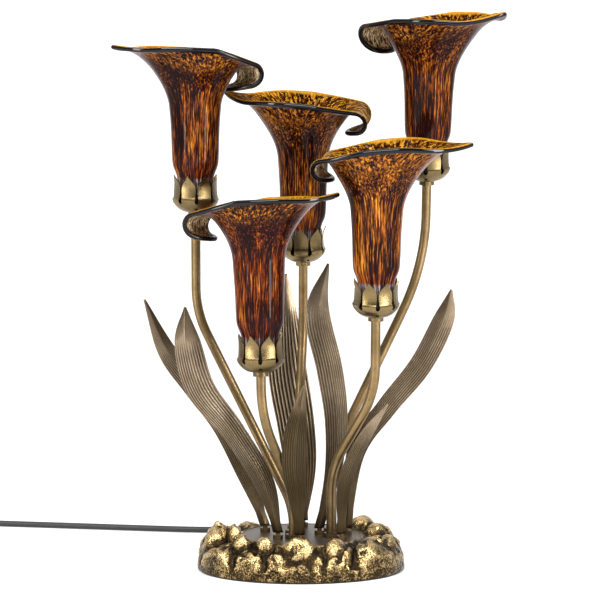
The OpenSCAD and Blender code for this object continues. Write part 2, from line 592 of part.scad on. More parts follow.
// Coil of the spare cord: two layers of turns, wound in on the table and out again on top
coil_pitch = cord_d + 0.55;
coil_out = 45;
lead = 44;
tail = 20;
tie_t = 0.5;                        // strap round the coil, which also lies on the table
coil_z = cord_z + tie_t + 0.05;
coil_at = [run_end.x - switch_len - lead, run_end.y - coil_out];
half_turns = coil_turns / 2;
function coil_point(t) = let (r = coil_out - coil_pitch * min(t, coil_turns - t), a = 90 + 360 * t)
    [coil_at.x + r * cos(a), coil_at.y + r * sin(a),
     coil_z + coil_pitch * ease((t - half_turns + 0.25) / 0.5)];
coil_steps = 24 * coil_turns;
coil_end = coil_at - [coil_out, 0];
coil_points = concat(
    [for (s = [0, cord_d, 12, 17, 22, 27, 32, 38]) [coil_at.x + lead - s, run_end.y,
        mix(body_z, coil_z, ease((s - cord_d) / 30))]],
    [for (k = [0 : coil_steps]) coil_point(k / 24)],
    [for (s = [tail - cord_d, tail]) [coil_end.x, coil_end.y - s, coil_z + coil_pitch]]);
module cord_coil() {
    color("black") swept_tube(coil_points, cord_d / 2, 6);
}
apart = 6;                          // points nearer than this along the cord aren't compared
coil_gap = min([for (i = [0 : len(coil_points) - 1]) for (j = [i + apart : 1 : len(coil_points) - 1])
    norm(coil_points[i] - coil_points[j])]) - cord_d;
echo("least gap of the coil to itself", coil_gap);

// Strap that holds the turns together, on the side of the coil that faces the viewer
tie_w = 8;
tie_in = coil_out - coil_pitch * half_turns - cord_d / 2 - 0.2;
tie_out = coil_out + cord_d / 2 + 0.2;
tie_top = coil_z + coil_pitch + cord_d / 2 + 0.2;
module round_box(x0, x1, y0, y1, r) {
    translate([x0, y0 + r]) square([x1 - x0, y1 - y0 - 2 * r]);
    translate([x0 + r, y0]) square([x1 - x0 - 2 * r, y1 - y0]);
    for (x = [x0 + r, x1 - r]) for (y = [y0 + r, y1 - r]) translate([x, y]) circle(r = r, $fn = 32);
}
module cord_tie() {
    color("black") translate([coil_at.x - tie_w / 2, coil_at.y, 0]) rotate([90, 0, 90])
        linear_extrude(tie_w) difference() {
            round_box(-tie_out - tie_t, -tie_in + tie_t, 0, tie_top + tie_t, 3);
            round_box(-tie_out, -tie_in, tie_t, tie_top, 2.5);
        }
}

// Plug with two flat blades
plug_z = coil_z + coil_pitch;
plug_at = [coil_end.x, coil_end.y - tail];
plug_len = 22;
plug_w = 25;
relief_len = 20;
blade_len = 16;
module at_plug() {
    translate([plug_at.x, plug_at.y, plug_z]) rotate([90, 0, 0]) children();
}
module plug_body() {
    color("black") at_plug() {
        cylinder(h = relief_len, d1 = cord_d + 2, d2 = cord_d + 6, $fn = 48);
        translate([0, 0, relief_len]) linear_extrude(plug_len) {
            square([plug_w - 8, 2 * plug_z], center = true);
            square([plug_w, 2 * plug_z - 8], center = true);
            for (x = [-1, 1]) for (y = [-1, 1])
                translate([x * (plug_w / 2 - 4), y * (plug_z - 4)]) circle(r = 4, $fn = 32);
        }
    }
}
module plug_blades() {
    color("silver") at_plug() translate([0, 0, relief_len + plug_len]) for (x = [-1, 1])
        translate([x * 6.35, 0, blade_len / 2]) difference() {
            cube([1.5, 6.4, blade_len], center = true);
            translate([0, 0, 4]) rotate([0, 90, 0]) cylinder(h = 4, d = 3.2, center = true, $fn = 24);
        }
}

// Wire joint in the hollow of the base
module wire_joint() {
    color("ivory") translate([12, 22, casting_low + 2]) {
        cylinder(h = 14, d1 = 15, d2 = 10, $fn = 48);
        translate([0, 0, -2]) cylinder(h = 2, d = 17, $fn = 48);
    }
}

base_casting();
base_plate();
felt_pad();
stem_nuts();
lock_nuts();
leaf_nuts();
leaf_studs();
wire_joint();
for (n = [0 : 4]) {
    stem(n);
    calyx(n);
    socket(n);
    bulb_cap(n);
    bulb_glass(n);
    shade(n);
}
for (n = [0 : 6]) leaf(n);
calyx_collars();
stem_pipes();
seat_rings();
cord_sleeve();
cord_run();
switch_base();
switch_cover();
switch_rocker();
cord_coil();
cord_tie();
plug_body();
plug_blades();
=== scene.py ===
import json
import math
import bmesh
import bpy
import numpy as np
from mathutils import Matrix, Vector
from mathutils.kdtree import KDTree

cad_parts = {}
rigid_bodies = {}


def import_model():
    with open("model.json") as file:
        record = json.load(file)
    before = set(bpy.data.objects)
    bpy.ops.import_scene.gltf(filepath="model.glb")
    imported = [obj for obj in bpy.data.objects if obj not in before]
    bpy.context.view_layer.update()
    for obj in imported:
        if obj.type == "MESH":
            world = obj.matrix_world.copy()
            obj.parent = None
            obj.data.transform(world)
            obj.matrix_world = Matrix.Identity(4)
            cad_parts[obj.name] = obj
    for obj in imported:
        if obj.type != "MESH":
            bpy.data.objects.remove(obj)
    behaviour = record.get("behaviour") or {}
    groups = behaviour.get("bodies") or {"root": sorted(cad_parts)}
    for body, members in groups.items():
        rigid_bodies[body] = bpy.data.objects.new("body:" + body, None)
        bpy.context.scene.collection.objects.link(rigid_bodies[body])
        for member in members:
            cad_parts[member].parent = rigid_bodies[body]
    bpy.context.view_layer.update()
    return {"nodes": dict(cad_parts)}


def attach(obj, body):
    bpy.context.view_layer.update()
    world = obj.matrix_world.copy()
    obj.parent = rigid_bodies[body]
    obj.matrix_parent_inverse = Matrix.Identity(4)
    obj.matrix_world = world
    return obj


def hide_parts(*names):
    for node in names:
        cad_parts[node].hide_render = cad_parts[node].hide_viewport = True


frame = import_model()
nodes = frame["nodes"]
mm = 0.001  # pieces are sized in millimetres, as in the solids; camera, lights and floor in metres


def ease(k):
    k = np.clip(k, 0, 1)
    return k * k * (3 - 2 * k)


def mix(a, b, k):
    return a + (b - a) * k


def unit(v, tiny=0):
    return v / (np.linalg.norm(v, axis=-1, keepdims=True) + tiny)


def table(columns, *rows):  # one dictionary for each row
    return [dict(zip(columns.split(), row)) for row in rows]


def addObject(name, data):
    piece = bpy.data.objects.new(name, data)
    bpy.context.scene.collection.objects.link(piece)
    return piece


# Camera at the photograph's viewing angle
view = {"at": (-0.0009, -2.2, 0.45), "down": 5.24, "lens": 145.6, "sensor": 36, "near": 0.1, "far": 60}


def makeCamera():
    data = bpy.data.cameras.new("camera")
    data.lens, data.sensor_width = view["lens"], view["sensor"]
    data.clip_start, data.clip_end = view["near"], view["far"]
    camera = addObject("camera", data)
    camera.location = view["at"]
    camera.rotation_euler = (math.radians(90 - view["down"]), 0, 0)
    bpy.context.scene.camera = camera


makeCamera()


# Materials: a wire is one value in a node tree, and a paint builds the tree
class Wire:
    def __init__(self, paint, socket):
        self.paint, self.socket = paint, socket

    def __add__(self, o):
        return self.paint.calc("ADD", self, o)

    def __radd__(self, o):
        return self.paint.calc("ADD", o, self)

    def __sub__(self, o):
        return self.paint.calc("SUBTRACT", self, o)

    def __rsub__(self, o):
        return self.paint.calc("SUBTRACT", o, self)

    def __mul__(self, o):
        return self.paint.calc("MULTIPLY", self, o)

    def __rmul__(self, o):
        return self.paint.calc("MULTIPLY", o, self)

    def step(self, low, high):
        n = self.paint.node("MapRange", {"interpolation_type": "SMOOTHSTEP"},
                            {"Value": self, "From Min": low, "From Max": high})
        return Wire(self.paint, n.outputs["Result"])


class Paint:
    def __init__(self, name):
        self.mat = bpy.data.materials.new(name)
        self.mat.use_nodes = True
        self.tree = self.mat.node_tree
        self.tree.nodes.clear()
        self.out = self.tree.nodes.new("ShaderNodeOutputMaterial")

    def node(self, kind, settings=None, values=None):
        n = self.tree.nodes.new("ShaderNode" + kind)
        for k, v in (settings or {}).items():
            if k == "stops":
                self.setStops(n.color_ramp.elements, v)
            else:
                setattr(n, k, v)
        for k, v in (values or {}).items():
            if isinstance(v, Wire):
                self.tree.links.new(v.socket, n.inputs[k])
            else:
                n.inputs[k].default_value = v
        return n

    def setStops(self, elements, stops):
        while len(elements) < len(stops):
            elements.new(0.5)
        for element, (at, color) in zip(elements, stops):
            element.position, element.color = at, (*color, 1)

    def wire(self, n, out=0):
        return Wire(self, n.outputs[out])

    def calc(self, op, a, b):
        return self.wire(self.node("Math", {"operation": op}, {0: a, 1: b}))

    def attribute(self, name, out="Fac"):
        return self.wire(self.node("Attribute", {"attribute_name": name}), out)

    def position(self):
        return self.wire(self.node("TexCoord"), "Object")

    def part(self, vector, axis):
        return self.wire(self.node("SeparateXYZ", None, {0: vector}), axis)

    def stretch(self, vector, scale):
        return self.wire(self.node("Mapping", None, {"Vector": vector, "Scale": scale}))

    def noise(self, vector, scale, detail=3, rough=0.55, warp=0):
        return self.wire(self.node("TexNoise", None, {
            "Vector": vector, "Scale": scale, "Detail": detail, "Roughness": rough, "Distortion": warp}))

    def colour(self, a, b, k):
        a, b = ((*v, 1) if isinstance(v, tuple) else v for v in (a, b))
        return self.wire(self.node("Mix", {"data_type": "RGBA"}, {0: k, 6: a, 7: b}), 2)

    def ramp(self, k, stops):
        return self.wire(self.node("ValToRGB", {"stops": stops}, {"Fac": k}))

    def bump(self, height, depth):
        return self.wire(self.node("Bump", None, {"Height": height, "Strength": 1.0, "Distance": depth}))

    def skin(self, **values):
        names = {"color": "Base Color", "rough": "Roughness", "metal": "Metallic", "normal": "Normal",
                 "coat": "Coat Weight", "coatRough": "Coat Roughness", "ior": "IOR",
                 "specular": "Specular IOR Level", "glow": "Emission Color", "glowPower": "Emission Strength"}
        given = {names[k]: ((*v, 1) if isinstance(v, tuple) else v) for k, v in values.items()}
        return self.wire(self.node("BsdfPrincipled", None, given))

    def finish(self, surface):
        self.tree.links.new(surface.socket, self.out.inputs["Surface"])
        return self.mat


# Brass: clouds and specks of patina, darker towards the bottom; on the leaves, painted shade in the channels
# between the ribs, down the fold and along each leaf
patina = {"cloud": 34, "speck": 1500, "spots": 420, "spotColor": (0.050, 0.036, 0.020),
          "grooveShadeColor": (0.012, 0.009, 0.007), "paintedShadeAlongColor": (0.050, 0.033, 0.014), "lowBand": (0.17, 0.04)}


def brassPaint(name, light, dark, rough, withGrooveShade=False):
    p = Paint(name)
    at = p.position()
    cloud = p.noise(at, patina["cloud"], 4, 0.6).step(0.32, 0.68)
    speck = p.noise(at, patina["speck"], 2, 0.65)
    spots = p.noise(at, patina["spots"], 3, 0.7).step(0.56, 0.72)
    low = p.part(at, 2).step(*patina["lowBand"])
    color = p.colour(dark, light, cloud * 0.55 + speck.step(0.3, 0.75) * 0.45)
    color = p.colour(color, patina["spotColor"], spots * 0.35 + low * 0.35)
    roughness = rough + (1 - cloud) * 0.10 + spots * 0.15
    if withGrooveShade:
        # painted shade: near black in the channels between the ribs and down the fold line, which also get
        # rougher
        shadedGroove = p.attribute("shadedGroove")
        color = p.colour(color, patina["grooveShadeColor"], shadedGroove)
        # painted shade along each leaf, from the foot to the tip
        color = p.colour(color, patina["paintedShadeAlongColor"], p.attribute("dusk"))
        roughness = roughness + shadedGroove * 0.3
    return p.finish(p.skin(color=color, rough=roughness, metal=0.96, normal=p.bump(speck, 0.00002)))


brass = brassPaint("antiqueBrass", (0.34, 0.230, 0.108), (0.15, 0.100, 0.043), 0.33)
leafBrass = brassPaint("leafBrass", (0.76, 0.59, 0.42), (0.33, 0.245, 0.155), 0.28, True)
cupBrass = brassPaint("cupBrass", (0.27, 0.193, 0.088), (0.11, 0.077, 0.032), 0.25)
steel = brassPaint("plainSteel", (0.55, 0.55, 0.53), (0.38, 0.38, 0.37), 0.33)

# Art glass: noise scales across and along the flow, colours, and the bands in metres over which one
# part passes into the next, as heights on the glass or distances from its lip
glaze = {
    "wander": (70, 70, 14), "streak": (820, 820, 52), "fine": (2300, 2300, 130), "spots": (640, 640, 210),
    "ruddyBand": (0.052, 0.026), "mottleBand": (0.026, 0.010), "neckBand": (0.0255, 0.0215),
    "footShadeBand": (0.0165, 0.0125), "edgeBand": (0.0034, 0.0020), "throatBand": (0.026, 0.055),
    "footShadeColor": (0.012, 0.008, 0.007), "edgeColor": (0.62, 0.30, 0.020), "throatColor": (0.08, 0.028, 0.010),
    "lipColor": (0.005, 0.004, 0.005), "casingColor": (0.34, 0.27, 0.30), "dimple": (60, 0.0008)}
glazeStops = {
    "body": [(0.42, (0.006, 0.002, 0.002)), (0.48, (0.045, 0.011, 0.003)), (0.54, (0.16, 0.040, 0.005)),
             (0.61, (0.37, 0.118, 0.010)), (0.72, (0.76, 0.36, 0.052))],
    "ruddy": [(0.43, (0.012, 0.003, 0.003)), (0.50, (0.075, 0.011, 0.004)), (0.58, (0.24, 0.045, 0.005)),
              (0.69, (0.52, 0.17, 0.018))],
    "mottle": [(0.44, (0.008, 0.004, 0.004)), (0.50, (0.060, 0.016, 0.006)), (0.55, (0.22, 0.062, 0.007)),
               (0.66, (0.56, 0.24, 0.022))],
    "neck": [(0.42, (0.020, 0.010, 0.008)), (0.52, (0.12, 0.085, 0.085)), (0.62, (0.50, 0.44, 0.46))],
    "lining": [(0.48, (0.014, 0.005, 0.002)), (0.53, (0.10, 0.028, 0.004)), (0.575, (0.48, 0.200, 0.012)),
               (0.70, (0.70, 0.37, 0.040))],
    "rollCreamAndLight": [(0.46, (0.060, 0.020, 0.010)), (0.51, (0.50, 0.26, 0.10)), (0.56, (0.95, 0.78, 0.46)),
                 (0.66, (1.0, 0.92, 0.72))]}


def lilyPaint():
    p = Paint("lilyGlass")
    flow = p.attribute("flow", "Vector")
    rim, inner, height, tone, red, bead, roll = (
        p.attribute(k) for k in ("rim", "inner", "height", "tone", "red", "bead", "roll"))
    wander = p.noise(p.stretch(flow, glaze["wander"]), 1, 2, 0.5)
    streak = p.noise(p.stretch(flow, glaze["streak"]), 1, 4, 0.68, 0.2)
    fine = p.noise(p.stretch(flow, glaze["fine"]), 1, 2, 0.6)
    spots = p.noise(p.stretch(flow, glaze["spots"]), 1, 4, 0.7, 0.6)
    lines = streak * 0.98 + fine * 0.30 + wander * 0.42 + tone - 0.388
    body, ruddy, neck = (p.ramp(lines, glazeStops[k]) for k in ("body", "ruddy", "neck"))
    mottle = p.ramp(spots + tone * 0.5, glazeStops["mottle"])
    lining, rollCreamAndLight = (p.ramp(spots, glazeStops[k]) for k in ("lining", "rollCreamAndLight"))
    outer = p.colour(body, ruddy, height.step(*glaze["ruddyBand"]) * (0.85 - red * 0.85) + red)
    outer = p.colour(outer, mottle, rim.step(*glaze["mottleBand"]))
    outer = p.colour(outer, neck, height.step(*glaze["neckBand"]))
    # painted shade: the foot of the glass, deep in the cup, is made near black so the slots between the
    # petals look dark
    outer = p.colour(outer, glaze["footShadeColor"], height.step(*glaze["footShadeBand"]))
    lining = p.colour(lining, glaze["edgeColor"], rim.step(*glaze["edgeBand"]) * 0.7)
    lining = p.colour(lining, glaze["throatColor"], rim.step(*glaze["throatBand"]) * 0.8)
    color = p.colour(outer, lining, inner)
    # the rolled tongue takes a cream mottle, lightened beyond the glass's own colour as painted light, since
    # little light reaches into the roll
    color = p.colour(color, rollCreamAndLight, roll * (1 - inner * 0.85))
    color = p.colour(color, glaze["lipColor"], bead)
    scale, depth = glaze["dimple"]
    dimple = p.bump(p.noise(p.position(), scale, 2, 0.5), depth)
    core = p.skin(color=color, rough=0.42 - bead * 0.34, specular=0.0, coatRough=0.03, ior=1.5,
                  coat=(0.15 - inner * 0.11) * (1 - roll) + bead * 0.42, normal=dimple)
    casing = p.skin(color=glaze["casingColor"], rough=0.25, specular=0.2, coatRough=0.03,
                    coat=0.3, normal=dimple)
    graze = p.wire(p.node("LayerWeight", None, {"Blend": 0.5}), "Facing").step(0.60, 1.0)
    share = graze * (1 - bead) * (1 - inner) * (1 - roll) * 0.7
    return p.finish(p.wire(p.node("MixShader", None, {0: share, 1: core, 2: casing})))


# Cast base: gold paint worn to a shine on the high spots, over a dark ground; the gold also carries a painted
# highlight on raised tops and painted shade in the hollows and near the floor
castPaint = {"speck": 620, "blot": 120, "ground": (0.022, 0.015, 0.008), "goldDullAndShaded": (0.17, 0.100, 0.028),
             "goldRubbedAndLit": (0.56, 0.40, 0.185)}


def basePaint():
    p = Paint("antiqueGold")
    at = p.position()
    speck, blot = p.noise(at, castPaint["speck"], 3, 0.8), p.noise(at, castPaint["blot"], 3, 0.6)
    high = p.attribute("high")
    worn = (speck * 3.0 + blot * 1.0 + high * 0.8 - 2.28).step(0.0, 0.36)
    # painted highlight and painted shade: lighter on raised tops, darker in hollows and near the floor,
    # partly by a random blotch of tone
    gold = p.colour(castPaint["goldDullAndShaded"], castPaint["goldRubbedAndLit"], (blot * 0.5 + high * 0.9).step(0.45, 1.0))
    color = p.colour(castPaint["ground"], gold, worn)
    return p.finish(p.skin(color=color, rough=0.40 - worn * 0.17, metal=0.96,
                           normal=p.bump(speck * 0.5 + blot * 0.9, 0.0009)))


def plainPaint(name, light, dark, rough, grain, depth, metal=0.0, coat=0.0):
    p = Paint(name)
    n = p.noise(p.position(), grain, 3, 0.6)
    tone = n.step(0.3, 0.7)
    return p.finish(p.skin(color=p.colour(dark, light, tone), rough=rough + tone * 0.06, metal=metal,
                           coat=coat, normal=p.bump(n, depth)))


lilyGlass, castGold = lilyPaint(), basePaint()
plateMetal = plainPaint("plateMetal", (0.17, 0.135, 0.105), (0.10, 0.078, 0.060), 0.40, 140, 0.00008, 0.85)
blackRubber = plainPaint("blackRubber", (0.022, 0.022, 0.023), (0.012, 0.012, 0.013), 0.40, 700, 0.00004)
blackPlastic = plainPaint("blackPlastic", (0.026, 0.026, 0.027), (0.016, 0.016, 0.017), 0.34, 1800, 0.00006)
ivory = plainPaint("ivoryPlastic", (0.74, 0.69, 0.58), (0.64, 0.59, 0.49), 0.42, 90, 0.00003)
felt = plainPaint("darkFelt", (0.05, 0.05, 0.045), (0.02, 0.02, 0.018), 0.90, 1600, 0.0003)
frosted = plainPaint("frostedGlass", (0.93, 0.91, 0.86), (0.86, 0.83, 0.77), 0.28, 60, 0.00002, coat=0.4)
capMetal = plainPaint("capMetal", (0.80, 0.78, 0.72), (0.62, 0.60, 0.55), 0.28, 300, 0.00003, 0.95)
bladeMetal = plainPaint("bladeMetal", (0.72, 0.60, 0.36), (0.60, 0.49, 0.28), 0.26, 400, 0.00002, 0.95)

# Solids that are shown as they are
shown = {
    "base_plate": plateMetal, "felt_pad": felt, "stem_nuts": brass, "lock_nuts": steel, "leaf_nuts": brass,
    "leaf_studs": brass, "wire_joint": ivory, "calyx_collars": cupBrass, "stem_pipes": steel,
    "seat_rings": blackRubber, "cord_sleeve": blackRubber, "cord_tie": blackPlastic,
    "switch_base": blackPlastic, "switch_cover": blackPlastic, "switch_rocker": blackPlastic,
    "plug_body": blackPlastic, "plug_blades": bladeMetal}
for n in range(1, 6):
    shown["socket_%d" % n] = ivory
    shown["bulb_cap_%d" % n] = capMetal
    shown["bulb_glass_%d" % n] = frosted
for name, material in shown.items():
    nodes[name].data.materials.clear()
    nodes[name].data.materials.append(material)
print("materials made")


# Meshes
def makeMesh(name, points, faces, material, layers=None):
    mesh = bpy.data.meshes.new(name)
    mesh.from_pydata([tuple(p) for p in points], [], [tuple(int(q) for q in f) for f in faces])
    for key, values in (layers or {}).items():
        values = np.asarray(values, np.float32)
        kind, word = ("FLOAT_VECTOR", "vector") if values.ndim == 2 else ("FLOAT", "value")
        mesh.attributes.new(key, kind, "POINT").data.foreach_set(word, values.ravel())
    mesh.materials.append(material)
    mesh.polygons.foreach_set("use_smooth", [True] * len(mesh.polygons))
    mesh.validate()
    mesh.update()
    return addObject(name, mesh)


def gridFaces(rows, cols, loopRows):
    i = np.arange(rows if loopRows else rows - 1)[:, None]
    j = np.arange(cols)[None, :]
    a, b = i * cols + j, i * cols + (j + 1) % cols
    c, d = ((i + 1) % rows) * cols + (j + 1) % cols, ((i + 1) % rows) * cols + j
    return np.stack([a, b, c, d], -1).reshape(-1, 4)


def faceOutwards(piece):
    bm = bmesh.new()
    bm.from_mesh(piece.data)
    bmesh.ops.recalc_face_normals(bm, faces=bm.faces)
    bm.to_mesh(piece.data)
    bm.free()


def settle(piece, body, slot, *replaced):
    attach(piece, body)
    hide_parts(*replaced)


def curved(points, parts):  # a smooth line through all the points
    p = np.array(points, float)
    q = np.vstack([2 * p[0] - p[1], p, 2 * p[-1] - p[-2]])
    made = []
    for i in range(1, len(q) - 2):
        a, b, c, d = q[i - 1:i + 3]
        for h in np.arange(parts) / parts:
            bend = (2 * a - 5 * b + 4 * c - d) + h * (3 * b - a - 3 * c + d)
            made.append(b + h / 2 * ((c - a) + h * bend))
    return np.array(made + [p[-1]])


def evaluated(holder):
    return bpy.data.meshes.new_from_object(holder.evaluated_get(bpy.context.evaluated_depsgraph_get()))


# Node trees: a tube along a path, and one sector of a cup repeated round its axis
class Grower:
    def __init__(self, name, inputs):
        self.tree = bpy.data.node_groups.new(name, "GeometryNodeTree")
        self.ids = {n: self.socket(n, k, "INPUT").identifier for n, k in inputs}
        self.socket("Piece", "Geometry", "OUTPUT")
        self.start, self.end = self.new("NodeGroupInput"), self.new("NodeGroupOutput")

    def socket(self, name, kind, way):
        return self.tree.interface.new_socket(name, in_out=way, socket_type="NodeSocket" + kind)

    def new(self, kind, **settings):
        n = self.tree.nodes.new(kind)
        for k, v in settings.items():
            setattr(n, k, v)
        return n

    def link(self, a, out, b, into):
        self.tree.links.new(a.outputs[out], b.inputs[into])

    def close(self, last, out):
        real, paint = self.new("GeometryNodeRealizeInstances"), self.new("GeometryNodeSetMaterial")
        self.link(last, out, real, "Geometry")
        self.link(real, "Geometry", paint, "Geometry")
        self.link(self.start, "Paint", paint, "Material")
        return paint

    def grow(self, holder, name, values):
        mod = holder.modifiers.new(name, "NODES")
        mod.node_group = self.tree
        for k, v in values.items():
            mod[self.ids[k]] = v
        mesh = evaluated(holder)
        mesh.name = name
        bpy.data.objects.remove(holder)
        return addObject(name, mesh)


def tubeGrower():
    inputs = [("Path", "Geometry"), ("Radius", "Float"), ("Sides", "Int"), ("Paint", "Material")]
    g = Grower("tubeAlongPath", inputs)
    ring, sweep = g.new("GeometryNodeCurvePrimitiveCircle"), g.new("GeometryNodeCurveToMesh")
    soft = g.new("GeometryNodeSetShadeSmooth")
    g.link(g.start, "Radius", ring, "Radius")
    g.link(g.start, "Sides", ring, "Resolution")
    g.link(g.start, "Path", sweep, "Curve")
    g.link(ring, "Curve", sweep, "Profile Curve")
    sweep.inputs["Fill Caps"].default_value = True
    g.link(sweep, "Mesh", soft, "Geometry")
    g.link(g.close(soft, "Geometry"), "Geometry", g.end, "Piece")
    return g


def ringGrower():
    g = Grower("sectorRing", [("Sector", "Geometry"), ("Count", "Int"), ("Paint", "Material")])
    points, copies = g.new("GeometryNodeMeshLine"), g.new("GeometryNodeInstanceOnPoints")
    index, share = g.new("GeometryNodeInputIndex"), g.new("ShaderNodeMath", operation="DIVIDE")
    angle, turn = g.new("ShaderNodeMath", operation="MULTIPLY"), g.new("ShaderNodeCombineXYZ")
    weld = g.new("GeometryNodeMergeByDistance")
    points.inputs["Offset"].default_value = (0, 0, 0)
    angle.inputs[1].default_value = 2 * math.pi
    weld.inputs["Distance"].default_value = 0.00001
    g.link(g.start, "Count", points, "Count")
    g.link(index, 0, share, 0)
    g.link(g.start, "Count", share, 1)
    g.link(share, 0, angle, 0)
    g.link(angle, 0, turn, "Z")
    g.link(points, "Mesh", copies, "Points")
    g.link(g.start, "Sector", copies, "Instance")
    g.link(turn, 0, copies, "Rotation")
    g.link(g.close(copies, "Instances"), "Geometry", weld, "Geometry")
    g.link(weld, "Geometry", g.end, "Piece")
    return g


tubes, rings = tubeGrower(), ringGrower()


def tube(name, points, radius, sides, material):
    curve = bpy.data.curves.new(name + "Path", "CURVE")
    curve.dimensions = "3D"
    line = curve.splines.new("POLY")
    line.points.add(len(points) - 1)
    for p, q in zip(line.points, points):
        p.co = (*[float(v) * mm for v in q], 1)
    values = {"Radius": radius * mm, "Sides": sides, "Paint": material}
    return tubes.grow(addObject(name + "Path", curve), name, values)


# Cord: the free run to the switch, then the coil of what the photograph doesn't show
cordSize = {"d": 6, "exit": (10, 71, 9.5), "coilR": 45, "turns": 5.25, "pitch": 6.55, "lift": 3.55,
            "switch": 58, "lead": 44, "tail": 20, "sides": 20}
route = [
    (10, 71, 9.5), (10, 80, 9.5), (10, 90, 9.5), (10, 99, 9.5), (10, 103, 9), (10, 110, 7.4), (10, 118, 5),
    (9.6, 126, 3.4), (8.6, 134, 3), (6.5, 142, 3), (2.5, 151, 3), (-4, 160, 3), (-13, 168, 3),
    (-25, 174, 3), (-40, 177.5, 3), (-58, 178.5, 3), (-78, 178, 3), (-98, 178, 3), (-120, 180.5, 3),
    (-142, 184, 3), (-164, 187.8, 3), (-186, 191.6, 3), (-208, 195.5, 3), (-230, 199.4, 3),
    (-252, 203.2, 3), (-274, 207, 3), (-294, 210.4, 3), (-308, 212.6, 3.2), (-320, 214.2, 4.6),
    (-331, 215.4, 7.4), (-340, 216, 9.2), (-350, 216, 9.5),
]


def cordLine():
    s = cordSize
    endX, endY, endZ = route[-1]
    cx, cy = endX - s["switch"] - s["lead"], endY - s["coilR"]
    into = [(cx + s["lead"] - d, endY, mix(endZ, s["lift"], float(ease((d - 6) / 30))))
            for d in (0, 6, 12, 17, 22, 27, 32, 38)]
    coil = []
    for k in range(int(24 * s["turns"]) + 1):
        t = k / 24
        r = s["coilR"] - s["pitch"] * min(t, s["turns"] - t)  # in towards the middle and out again
        a = math.radians(90 + 360 * t)
        layer = float(ease((t - s["turns"] / 2 + 0.25) / 0.5))
        coil.append((cx + r * math.cos(a), cy + r * math.sin(a), s["lift"] + s["pitch"] * layer))
    out = [(cx - s["coilR"], cy - d, s["lift"] + s["pitch"]) for d in (s["tail"] - 6, s["tail"])]
    return np.vstack([curved(route, 3), curved(into + coil + out, 2)])


def cord():
    line = cordLine()
    piece = tube("cord", line, cordSize["d"] / 2, cordSize["sides"], blackRubber)
    settle(piece, "lamp", "cord_rubber", "cord_run", "cord_coil")
    print("cord made", round(float(np.linalg.norm(np.diff(line, axis=0), axis=1).sum()) * mm, 3))


cord()

# Flower heads: waist of the cup, lean to the viewer and to the right, turn of the glass, turn of the petals
flowers = table(
    "waist lean glassTurn petalTurn",
    ((-96, 10, 340.056), (1.6, 0), 199, 5),
    ((2, 50, 291.962), (7, 0), 175, 17),
    ((-36, -50, 200.5), (-1.3, -1), -16, 0),
    ((67, -40, 249.011), (5, 0.3), -10, 3),
    ((115.5, 25, 367.995), (7.3, 0.6), -39, -6),
)
cup = {"waist": 43, "bowl": 12.2, "wall": 0.9, "foot": 7.5, "hole": 3.25, "petals": 8, "slot": 1.9,
       "slotDrop": 4.0, "vents": 4, "vent": 3, "ventAt": (15.8, 3.6), "ventTilt": 138, "ventDepth": 7,
       "collar": 3.7, "seat": 7.6}


def headFrame(flower):  # its origin is the underside of the cup
    a, b = (math.radians(v) for v in flower["lean"])
    axis = Vector((math.cos(a) * math.sin(b), -math.sin(a), math.cos(a) * math.cos(b)))
    at = Vector(flower["waist"]) - cup["bowl"] * axis
    return Matrix.Translation(at) @ Matrix.Rotation(b, 4, "Y") @ Matrix.Rotation(a, 4, "X"), at, axis


def turned(degrees, axis="Z"):
    return Matrix.Rotation(math.radians(degrees), 4, axis)


# Stems: foot, height of the lower corner, upper corner below the cup, upper radius
plate = {"d": 108, "top": 32, "t": 2.4}
stem = {"d": 8.6, "lowR": 75, "nut": 4, "past": 2.0, "sides": 40, "bendSteps": 24}
stems = table(
    "foot corner below upR",
    ((-7, 2), 57, 88, 95), ((-5, 24), 74, 62, 95), ((-7, -19), 73, 36, 95),
    ((27.4, -12), 94, 67, 95), ((28.5, 12), 102, 75, 180),
)


def bentLine(n):
    s = stems[n]
    _, at, axis = headFrame(flowers[n])
    top = np.array(at - cup["collar"] * axis)
    low = plate["top"] - plate["t"] - stem["nut"] - stem["past"]
    p = [np.array([*s["foot"], low]), np.array([*s["foot"], float(s["corner"])]),
         top - s["below"] * np.array(axis), top]
    made = [p[0]]
    for a, b, c, r in ((p[0], p[1], p[2], stem["lowR"]), (p[1], p[2], p[3], s["upR"])):
        u, v = unit(b - a), unit(c - b)
        turn = math.acos(float(u @ v))
        side = unit(v - (u @ v) * u)
        centre = b - r * math.tan(turn / 2) * u + r * side
        for h in turn * np.arange(stem["bendSteps"] + 1) / stem["bendSteps"]:
            made.append(centre + r * (math.sin(h) * u - math.cos(h) * side))
    made.append(p[3])
    return made


for n in range(len(stems)):
    piece = tube("stem%d" % (n + 1), bentLine(n), stem["d"] / 2, stem["sides"], brass)
    settle(piece, "lamp", "brass", "stem_%d" % (n + 1))
print("stems made")

# Cups: one eighth of the bowl with its petal, then the ring, the vents and the five places
cupFloor = [(cup["hole"], 0), (5.2, 0), (6.8, 0)]
bowlSide = [(cup["foot"], 0), (10.6, 0.6), (13.4, 1.8), (16, 3.6), (18.2, 5.8), (19.9, 8), (21, 10.2),
            (cup["waist"] / 2, cup["bowl"])]
petalSide = [(20.9, 0.5), (20.35, 1.4), (20.0, 3), (19.75, 5), (19.6, 7), (19.5, 9), (19.5, 11), (19.6, 13),
             (19.85, 14.8), (20.25, 16.4), (20.8, 18), (21.35, 19.4), (21.8, 20.6), (22.1, 21.5)]
petalWidths = [(0, 6.45), (3, 6.55), (7, 6.8), (10.5, 6.75), (12.5, 6.3), (14.5, 5.2), (16.5, 3.7),
               (18.5, 2.0), (20, 0.9), (21.5, 0.2)]  # height over the waist, half width
petalCols = 15
halfSector = 180 / cup["petals"]  # degrees


